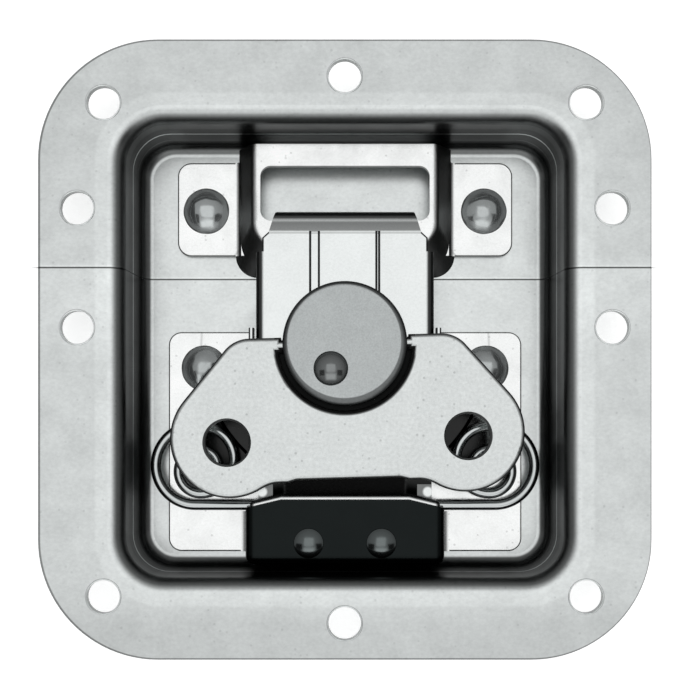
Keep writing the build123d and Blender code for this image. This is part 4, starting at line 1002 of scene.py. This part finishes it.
@dataclass
class RivetSet(NodeForm):
    """Round-headed rivets, hammered a little out of true, with their flush tails.

    Attributes:
        head_rise: Rise of the head above its plate in metres.
        tail_r: Radius of the tail in metres.
        sides: Faces round a head.
        rings: Faces from its rim to its top.
        dents: Depth of the hammering in metres.
        dent_scale: How fine the dents are.
        dent_from: Noise level above which a face is dented.
        overlap: Share of the head's rise that the shank reaches into it.
        weld: Distance within which points are merged, in metres.
        seed: Seed of the hammering.
    """

    head_rise: float = 0.0021
    tail_r: float = 0.0030
    sides: int = 64
    rings: int = 24
    dents: float = 0.00022
    dent_scale: float = 420.0
    dent_from: float = 0.35
    overlap: float = 0.2
    weld: float = 0.000002
    seed: int = 3

    def build(self, material: bpy.types.Material) -> bpy.types.Object:
        """Makes the set in place of its packed rivets.

        Args:
            material: The rivets' finish.

        Returns:
            The piece.
        """
        boxes = [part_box(node) for node in self.replaced]
        low, high = boxes[0]
        head_r = (high.x - low.x) / 2
        places = [((one.x + two.x) / 2, (one.y + two.y) / 2, two.z) for one, two in boxes]
        sizes = {
            "Head Radius": head_r, "Head Rise": self.head_rise, "Tail Radius": self.tail_r,
            "Length": high.z - low.z, "Sides": self.sides, "Rings": self.rings, "Dents": self.dents,
            "Seed": self.seed,
        }
        kit, given = self.tree(sizes)
        rivet = kit.joined(self.tail(kit, given), self.head(kit, given))
        copies = kit.add("GeometryNodeInstanceOnPoints", Points=given["Geometry"], Instance=rivet)
        turn = kit.add(
            "FunctionNodeRandomValue", {"data_type": "FLOAT_VECTOR"}, Min=(0.0, 0.0, 0.0),
            Max=(0.0, 0.0, 6.28), Seed=given["Seed"],
        )
        kit.put(copies, "Rotation", turn.outputs[0])
        real = kit.add("GeometryNodeRealizeInstances", Geometry=copies.outputs[0]).outputs[0]
        self.close(kit, given, self.hammered(kit, given, real))
        return self.bake(self.points(places), kit, sizes, material)

    def head(self, kit: Nodes, given: bpy.types.NodeInputs) -> Socket:
        """The ball-shaped head, its top at the origin.

        Args:
            kit: The tree's nodes.
            given: The sockets of its group input.

        Returns:
            The head's geometry.
        """
        square = kit.both(given["Head Radius"], given["Head Radius"])
        rise = given["Head Rise"]
        ball = kit.math("ADD", square, kit.both(rise, rise))
        ball = kit.math("DIVIDE", ball, kit.math("MULTIPLY", rise, 2.0))
        widest = kit.math("ARCSINE", kit.math("DIVIDE", given["Head Radius"], ball))
        grid = kit.add(
            "GeometryNodeMeshGrid", Size_X=1.0, Size_Y=1.0,
            Vertices_X=kit.math("ADD", given["Sides"], 1.0), Vertices_Y=kit.math("ADD", given["Rings"], 1.0),
        )
        turn, fall, _ = kit.axes(kit.add("GeometryNodeInputPosition").outputs[0])
        around = kit.math("MULTIPLY", turn, 2 * pi)
        down = kit.both(kit.math("ADD", fall, 0.5), widest)
        out = kit.both(ball, kit.math("SINE", down))
        drop = kit.both(ball, kit.math("SUBTRACT", kit.math("COSINE", down), 1.0))
        bent = kit.add(
            "ShaderNodeCombineXYZ", X=kit.both(out, kit.math("COSINE", around)),
            Y=kit.both(out, kit.math("SINE", around)), Z=drop,
        )
        placed = kit.add("GeometryNodeSetPosition", Geometry=grid.outputs[0], Position=bent.outputs[0])
        dome = kit.add("GeometryNodeFlipFaces", Mesh=placed.outputs[0]).outputs[0]
        under = kit.add(
            "GeometryNodeMeshCircle", {"fill_type": "NGON"}, Vertices=given["Sides"],
            Radius=given["Head Radius"],
        ).outputs[0]
        flipped = kit.add("GeometryNodeFlipFaces", Mesh=under).outputs[0]
        closed = kit.joined(dome, kit.raised(flipped, kit.math("MULTIPLY", rise, -1.0)))
        return kit.add("GeometryNodeMergeByDistance", Geometry=closed, Distance=self.weld).outputs[0]

    def tail(self, kit: Nodes, given: bpy.types.NodeInputs) -> Socket:
        """The shank, from within the head down to the flush tail."""
        head = kit.math("MULTIPLY", given["Head Rise"], 1 - self.overlap)
        thick = kit.math("SUBTRACT", given["Length"], head)
        drum = kit.add(
            "GeometryNodeMeshCylinder", Vertices=given["Sides"], Radius=given["Tail Radius"], Depth=thick
        ).outputs["Mesh"]
        return kit.raised(drum, kit.math("SUBTRACT", kit.math("DIVIDE", thick, 2.0), given["Length"]))

    def hammered(self, kit: Nodes, given: bpy.types.NodeInputs, geometry: Socket) -> Socket:
        """Presses soft dents into the heads."""
        noise = kit.add(
            "ShaderNodeTexNoise", {"noise_dimensions": "4D"}, Scale=self.dent_scale, Detail=1.0,
            W=given["Seed"],
        )
        press = kit.both(kit.math("SUBTRACT", self.dent_from, noise.outputs["Fac"]), given["Dents"])
        facing = kit.add("GeometryNodeInputNormal").outputs[0]
        inward = kit.scaled(facing, kit.math("MINIMUM", press, 0.0))
        return kit.add("GeometryNodeSetPosition", Geometry=geometry, Offset=inward).outputs[0]


@dataclass
class SpringWire(NodeForm):
    """The one wire that is the hinge axle in the middle and a flat coil at each side.

    Attributes:
        wire_r: Radius of the wire in metres.
        turns: Radius of each half turn from the outside in, in metres.
        shift: How far the inner turns stand towards the middle.
        end_bend_r: Bend where an end goes down into the plate.
        step: Length of wire between two rings of its faces.
        sides: Faces round the wire.
        arc_steps: Points along a half turn.
        bend_steps: Points along an end's bend.
    """

    wire_r: float = 0.0010
    turns: tuple[float, float, float, float] = (0.0075, 0.0064, 0.00415, 0.0032)
    shift: float = 0.0010
    end_bend_r: float = 0.0017
    step: float = 0.00025
    sides: int = 24
    arc_steps: int = 48
    bend_steps: int = 8

    def build(self, material: bpy.types.Material) -> bpy.types.Object:
        """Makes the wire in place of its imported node.

        Args:
            material: The wire's finish.

        Returns:
            The piece.
        """
        sizes = {"Wire Radius": self.wire_r, "Step": self.step, "Sides": self.sides}
        kit, given = self.tree(sizes)
        path = kit.add(
            "GeometryNodeResampleCurve", {"mode": "LENGTH"}, Curve=given["Geometry"], Length=given["Step"]
        )
        ring = kit.add(
            "GeometryNodeCurvePrimitiveCircle", Resolution=given["Sides"], Radius=given["Wire Radius"]
        ).outputs[0]
        tube = kit.add("GeometryNodeCurveToMesh", Curve=path.outputs[0])
        kit.put(tube, "Profile Curve", ring)
        kit.put(tube, "Fill Caps", True)
        self.close(kit, given, tube.outputs[0])
        return self.bake(self.path(), kit, sizes, material)

    def path(self) -> bpy.types.Object:
        """The wire's centre line, from one end to the other.

        Returns:
            A curve object.
        """
        low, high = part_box(self.replaced[0])
        side = self.half(high.x - self.wire_r, low.y + self.wire_r, high.z - self.wire_r, low.z)
        mirrored = [(-x, y, z) for x, y, z in reversed(side)]
        line = mirrored + side
        data = bpy.data.curves.new("wire path", "CURVE")
        data.dimensions = "3D"
        spline = data.splines.new("POLY")
        spline.points.add(len(line) - 1)
        for point, place in zip(spline.points, line):
            point.co = (*place, 1.0)
        path = bpy.data.objects.new("wire path", data)
        bpy.context.scene.collection.objects.link(path)
        return path

    def half(
        self, reach: float, axle_y: float, axle_z: float, end_z: float
    ) -> list[tuple[float, float, float]]:
        """One side's points, from the middle of the axle out through the coil and down.

        Args:
            reach: Furthest X of the centre line.
            axle_y: Y of the axle.
            axle_z: Level of the axle.
            end_z: Level of the wire's end.

        Returns:
            The points.
        """
        outer, second, third, last = self.turns
        centre_x = reach - outer
        inner_x = centre_x - self.shift
        second_low = axle_y + 2 * outer - 2 * second
        last_top = second_low + 2 * third
        points = [(0.0, axle_y, axle_z)]
        points += self.arc(centre_x, axle_y + outer, outer, -90, 90, axle_z)
        points += self.arc(inner_x, axle_y + 2 * outer - second, second, 90, 270, axle_z)
        points += self.arc(inner_x, second_low + third, third, -90, 90, axle_z)
        points += self.arc(inner_x, last_top - last, last, 90, 180, axle_z)
        end_x = inner_x - last
        bend_y = last_top - last
        for step in range(1, self.bend_steps + 1):
            angle = radians(90.0 * step / self.bend_steps)
            drop = self.end_bend_r * (1 - cos(angle))
            points.append((end_x, bend_y - self.end_bend_r * sin(angle), axle_z - drop))
        points.append((end_x, bend_y - self.end_bend_r, end_z))
        return points

    def arc(
        self, x: float, y: float, radius: float, start: int, end: int, z: float
    ) -> list[tuple[float, float, float]]:
        """Points along a flat arc between two angles in degrees."""
        count = self.arc_steps
        angles = (radians(start + (end - start) * step / count) for step in range(count + 1))
        return [(x + radius * cos(angle), y + radius * sin(angle), z) for angle in angles]


@dataclass
class HoleLips(NodeForm):
    """The fine lip round each fixing hole.

    Attributes:
        patterns: Names of the record's hole patterns.
        lip_r: Radius of the lip's section in metres.
        sink: Share of that radius by which its middle lies below the flange's face.
        sides: Faces round a lip.
        section_sides: Faces round its section.
    """

    patterns: tuple[str, ...] = ("corner_holes", "side_holes", "end_holes")
    lip_r: float = 0.00016
    sink: float = 0.3
    sides: int = 48
    section_sides: int = 10

    def build(self, material: bpy.types.Material) -> bpy.types.Object:
        """Makes all the lips.

        Args:
            material: Their finish.

        Returns:
            The piece.
        """
        places, hole_r = self.places()
        sizes = {
            "Hole Radius": hole_r, "Lip Radius": self.lip_r, "Sides": self.sides,
            "Section Sides": self.section_sides,
        }
        kit, given = self.tree(sizes)
        circle = kit.add(
            "GeometryNodeCurvePrimitiveCircle", Resolution=given["Sides"],
            Radius=kit.math("ADD", given["Hole Radius"], given["Lip Radius"]),
        ).outputs[0]
        section = kit.add(
            "GeometryNodeCurvePrimitiveCircle", Resolution=given["Section Sides"], Radius=given["Lip Radius"]
        ).outputs[0]
        lip = kit.add("GeometryNodeCurveToMesh", Curve=circle)
        kit.put(lip, "Profile Curve", section)
        copies = kit.add("GeometryNodeInstanceOnPoints", Points=given["Geometry"], Instance=lip.outputs[0])
        self.close(kit, given, copies.outputs[0])
        return self.bake(self.points(places), kit, sizes, material)

    def places(self) -> tuple[list[tuple[float, float, float]], float]:
        """The middle of each hole at the flange's face, and the holes' radius.

        Returns:
            The places and the radius in metres, from the record's mounts.
        """
        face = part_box("base_dish")[1].z - self.lip_r * self.sink
        found = []
        radius = 0.0
        for mount in frame["record"]["mounts"]:
            if mount["name"] not in self.patterns:
                continue
            dims = mount["dims"]
            radius = dims["hole_r_mm"] * MM
            half_x = dims.get("spacing_x_mm", 0.0) / 2 * MM
            half_y = dims["spacing_y_mm"] / 2 * MM
            middle = Vector(mount["pos_m"])
            for x in {half_x, -half_x}:
                found += [(middle.x + x, middle.y + y, face) for y in (half_y, -half_y)]
        return sorted(found), radius


@dataclass
class SeamBurrs(NodeForm):
    """The hair of metal at each end of the cut across the dish.

    Attributes:
        length: How far a burr stands out in metres.
        root_r: Its radius at the root.
        tip_r: Its radius at the tip.
        sides: Faces round it.
        segments: Faces along it.
        lean: How far it may lean, in radians.
        seam: Y of the cut.
        seed: Seed of the burrs' lean.
    """

    length: float = 0.0012
    root_r: float = 0.00010
    tip_r: float = 0.00002
    sides: int = 8
    segments: int = 3
    lean: float = 0.05
    seam: float = 0.0147
    seed: int = 5

    def build(self, material: bpy.types.Material) -> bpy.types.Object:
        """Makes both burrs.

        Args:
            material: Their finish.

        Returns:
            The piece.
        """
        low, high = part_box("base_dish")
        top = high.z - 2 * self.root_r
        places = [(low.x, self.seam, top), (high.x, self.seam, top)]
        sizes = {"Length": self.length, "Root Radius": self.root_r, "Seed": self.seed}
        kit, given = self.tree(sizes)
        hair = kit.add(
            "GeometryNodeMeshCone", Vertices=self.sides, Side_Segments=self.segments, Radius_Top=self.tip_r,
            Radius_Bottom=given["Root Radius"], Depth=kit.math("MULTIPLY", given["Length"], 2.0),
        ).outputs["Mesh"]
        centred = kit.raised(hair, kit.math("MULTIPLY", given["Length"], -1.0))
        side = kit.axes(kit.add("GeometryNodeInputPosition").outputs[0])[0]
        lean = kit.add("FunctionNodeRandomValue", {"data_type": "FLOAT"}, Seed=given["Seed"])
        kit.put(lean, 2, -self.lean)
        kit.put(lean, 3, self.lean)
        outward = kit.math("MULTIPLY", kit.math("SIGN", side), pi / 2)
        turn = kit.add("ShaderNodeCombineXYZ", X=lean.outputs[1], Y=outward).outputs[0]
        copies = kit.add(
            "GeometryNodeInstanceOnPoints", Points=given["Geometry"], Instance=centred, Rotation=turn
        )
        self.close(kit, given, copies.outputs[0])
        return self.bake(self.points(places), kit, sizes, material)


# ---- The latch ----

@dataclass
class Latch:
    """The whole latch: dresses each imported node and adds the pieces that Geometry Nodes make.

    Attributes:
        skin: The skin that the finishes share.
        forms: The added pieces.
    """

    skin: MetalSkin = MetalSkin()
    forms: tuple[NodeForm, ...] = (
        RivetSet(
            "plate_rivets", "case", "rivet_steel",
            ("strike_rivet_left", "strike_rivet_right", "base_rivet_left", "base_rivet_right"),
        ),
        RivetSet(
            "hood_rivets", "case", "black_rivet", ("cover_rivet_left", "cover_rivet_right"), head_rise=0.0010,
            tail_r=0.0024, dents=0.00008,
        ),
        SpringWire("hinge_wire", "case", "spring_wire", ("wire_spring",)),
        HoleLips("hole_lips", "case", "dish_steel"),
        SeamBurrs("seam_burrs", "case", "dish_steel"),
    )

    def build(self) -> None:
        """Makes the finishes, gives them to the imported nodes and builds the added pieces."""
        skin = self.skin.group()
        made = {finish.name: finish.make(skin) for finish in FINISHES}
        for part in frame["record"]["subparts"]:
            node = frame["nodes"][part["node"]]
            node.data.materials.clear()
            node.data.materials.append(made[part["material_slot"]])
            LOG.info("dressed %s as %s", part["node"], part["material_slot"])
        for form in self.forms:
            form.build(made[form.slot])


@dataclass(frozen=True)
class Panel:
    """A lit or dark panel of the studio, as it shows on a mirror ball of radius 1.

    Attributes:
        across: Its limits across the latch.
        along: Its limits along it.
        level: How bright it is.
        soft: Width of its edge's fade.
        paired: Whether there is one on each side.
    """

    across: tuple[float, float]
    along: tuple[float, float]
    level: float
    soft: float = 0.03
    paired: bool = False


@dataclass
class Studio:
    """Pale floor, soft light and the camera.

    Attributes:
        floor_size: Width of the floor in metres.
        floor_level: How far below the latch it lies.
        floor_grey: Its base colour.
        floor_rough: Its roughness.
        floor_glow: How much it glows where it is seen or mirrored.
        camera_place: Where the camera stands, in millimetres.
        camera_lens: Focal length in millimetres.
        camera_shift: How far its frame is shifted towards +Y.
        sky: Grey by distance from the zenith on the mirror ball, 0.707 at the horizon.
        panels: The panels over that sky.
        sun: Strength of the soft sun.
        sun_soft: Its width in degrees.
        sun_tilt: Its tilt about X and Y in degrees.
    """

    floor_size: float = 6.0
    floor_level: float = -0.0002
    floor_grey: float = 0.8
    floor_rough: float = 0.9
    floor_glow: float = 0.55
    camera_place: tuple[float, float, float] = (0.94, -15.5, 198.2)
    camera_lens: float = 52.49
    camera_shift: float = 0.1229
    sky: Stops = (
        (0.0, 0.80), (0.20, 0.70), (0.28, 0.44), (0.45, 0.36), (0.62, 0.24), (0.69, 0.12), (0.80, 0.25),
    )
    panels: tuple[Panel, ...] = (
        Panel((-0.24, 0.24), (-0.52, -0.24), 1.15, 0.16),
        Panel((0.30, 0.54), (-0.32, -0.06), 0.03, 0.06, paired=True),
        Panel((-0.20, 0.20), (-0.15, 0.20), 0.98, 0.08),
    )
    sun: float = 0.8
    sun_soft: float = 40.0
    sun_tilt: tuple[float, float] = (-12.0, 8.0)

    def floor(self) -> None:
        """The pale floor under the latch."""
        bpy.ops.mesh.primitive_plane_add(size=self.floor_size, location=(0.0, 0.0, self.floor_level))
        floor = bpy.context.object
        floor.name = "floor"
        material = bpy.data.materials.new("pale floor")
        material.use_nodes = True
        kit = Nodes(material.node_tree)
        shader = material.node_tree.nodes["Principled BSDF"]
        shader.inputs["Base Color"].default_value = (*(self.floor_grey,) * 3, 1.0)
        shader.inputs["Roughness"].default_value = self.floor_rough
        shader.inputs["Emission Color"].default_value = (1.0, 1.0, 1.0, 1.0)
        light = kit.add("ShaderNodeLightPath").outputs
        seen = kit.math("MAXIMUM", light["Is Camera Ray"], light["Is Glossy Ray"])
        kit.put(shader, "Emission Strength", kit.math("MULTIPLY", seen, self.floor_glow))
        floor.data.materials.append(material)

    def light(self) -> None:
        """A soft box overhead with a brighter strip before it, dark panels and a dim horizon."""
        world = bpy.data.worlds.new("studio")
        bpy.context.scene.world = world
        world.use_nodes = True
        kit = Nodes(world.node_tree)
        across, along, upward = kit.axes(kit.add("ShaderNodeTexCoord").outputs["Generated"])
        up = kit.math("MAXIMUM", kit.math("ADD", upward, 1.0), 0.02)
        share = kit.math("DIVIDE", 1.0, kit.math("SQRT", kit.math("MULTIPLY", up, 2.0)))
        x = kit.both(across, share)
        y = kit.both(along, share)
        level = kit.tones(kit.distance(x, y, (0.0, 0.0)), self.sky, 0.0, 1.0)
        for panel in self.panels:
            shape = kit.both(
                kit.band(kit.math("ABSOLUTE", x) if panel.paired else x, *panel.across, panel.soft),
                kit.band(y, *panel.along, panel.soft),
            )
            level = kit.level(shape, level, panel.level)
        level = kit.math("MAXIMUM", level, kit.add("ShaderNodeLightPath").outputs["Is Camera Ray"])
        background = world.node_tree.nodes["Background"]
        kit.put(background, "Color", kit.mix(level, (0.0, 0.0, 0.0), (1.0, 1.0, 1.0)))
        kit.put(background, "Strength", kit.math("MAXIMUM", level, 1.0))
        sun = bpy.data.lights.new("soft sun", "SUN")
        sun.energy = self.sun
        sun.angle = radians(self.sun_soft)
        lamp = bpy.data.objects.new("soft sun", sun)
        lamp.rotation_euler = (*(radians(tilt) for tilt in self.sun_tilt), 0.0)
        lamp.visible_glossy = False
        bpy.context.scene.collection.objects.link(lamp)

    def camera(self) -> None:
        """The camera, straight above the latch."""
        data = bpy.data.cameras.new("camera")
        data.lens = self.camera_lens
        data.shift_y = self.camera_shift
        data.clip_start = 0.01
        camera = bpy.data.objects.new("camera", data)
        camera.location = Vector(self.camera_place) * MM
        bpy.context.scene.collection.objects.link(camera)
        bpy.context.scene.camera = camera

    def build(self) -> None:
        """Sets up the whole studio."""
        self.floor()
        self.light()
        self.camera()
        bpy.context.scene.view_settings.view_transform = "Standard"


def main() -> None:
    """Builds the studio and the latch's dress, then reports."""
    logging.basicConfig(level=logging.INFO, format="%(message)s")
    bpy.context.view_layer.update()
    Latch().build()
    Studio().build()


if __name__ == "__main__":
    main()
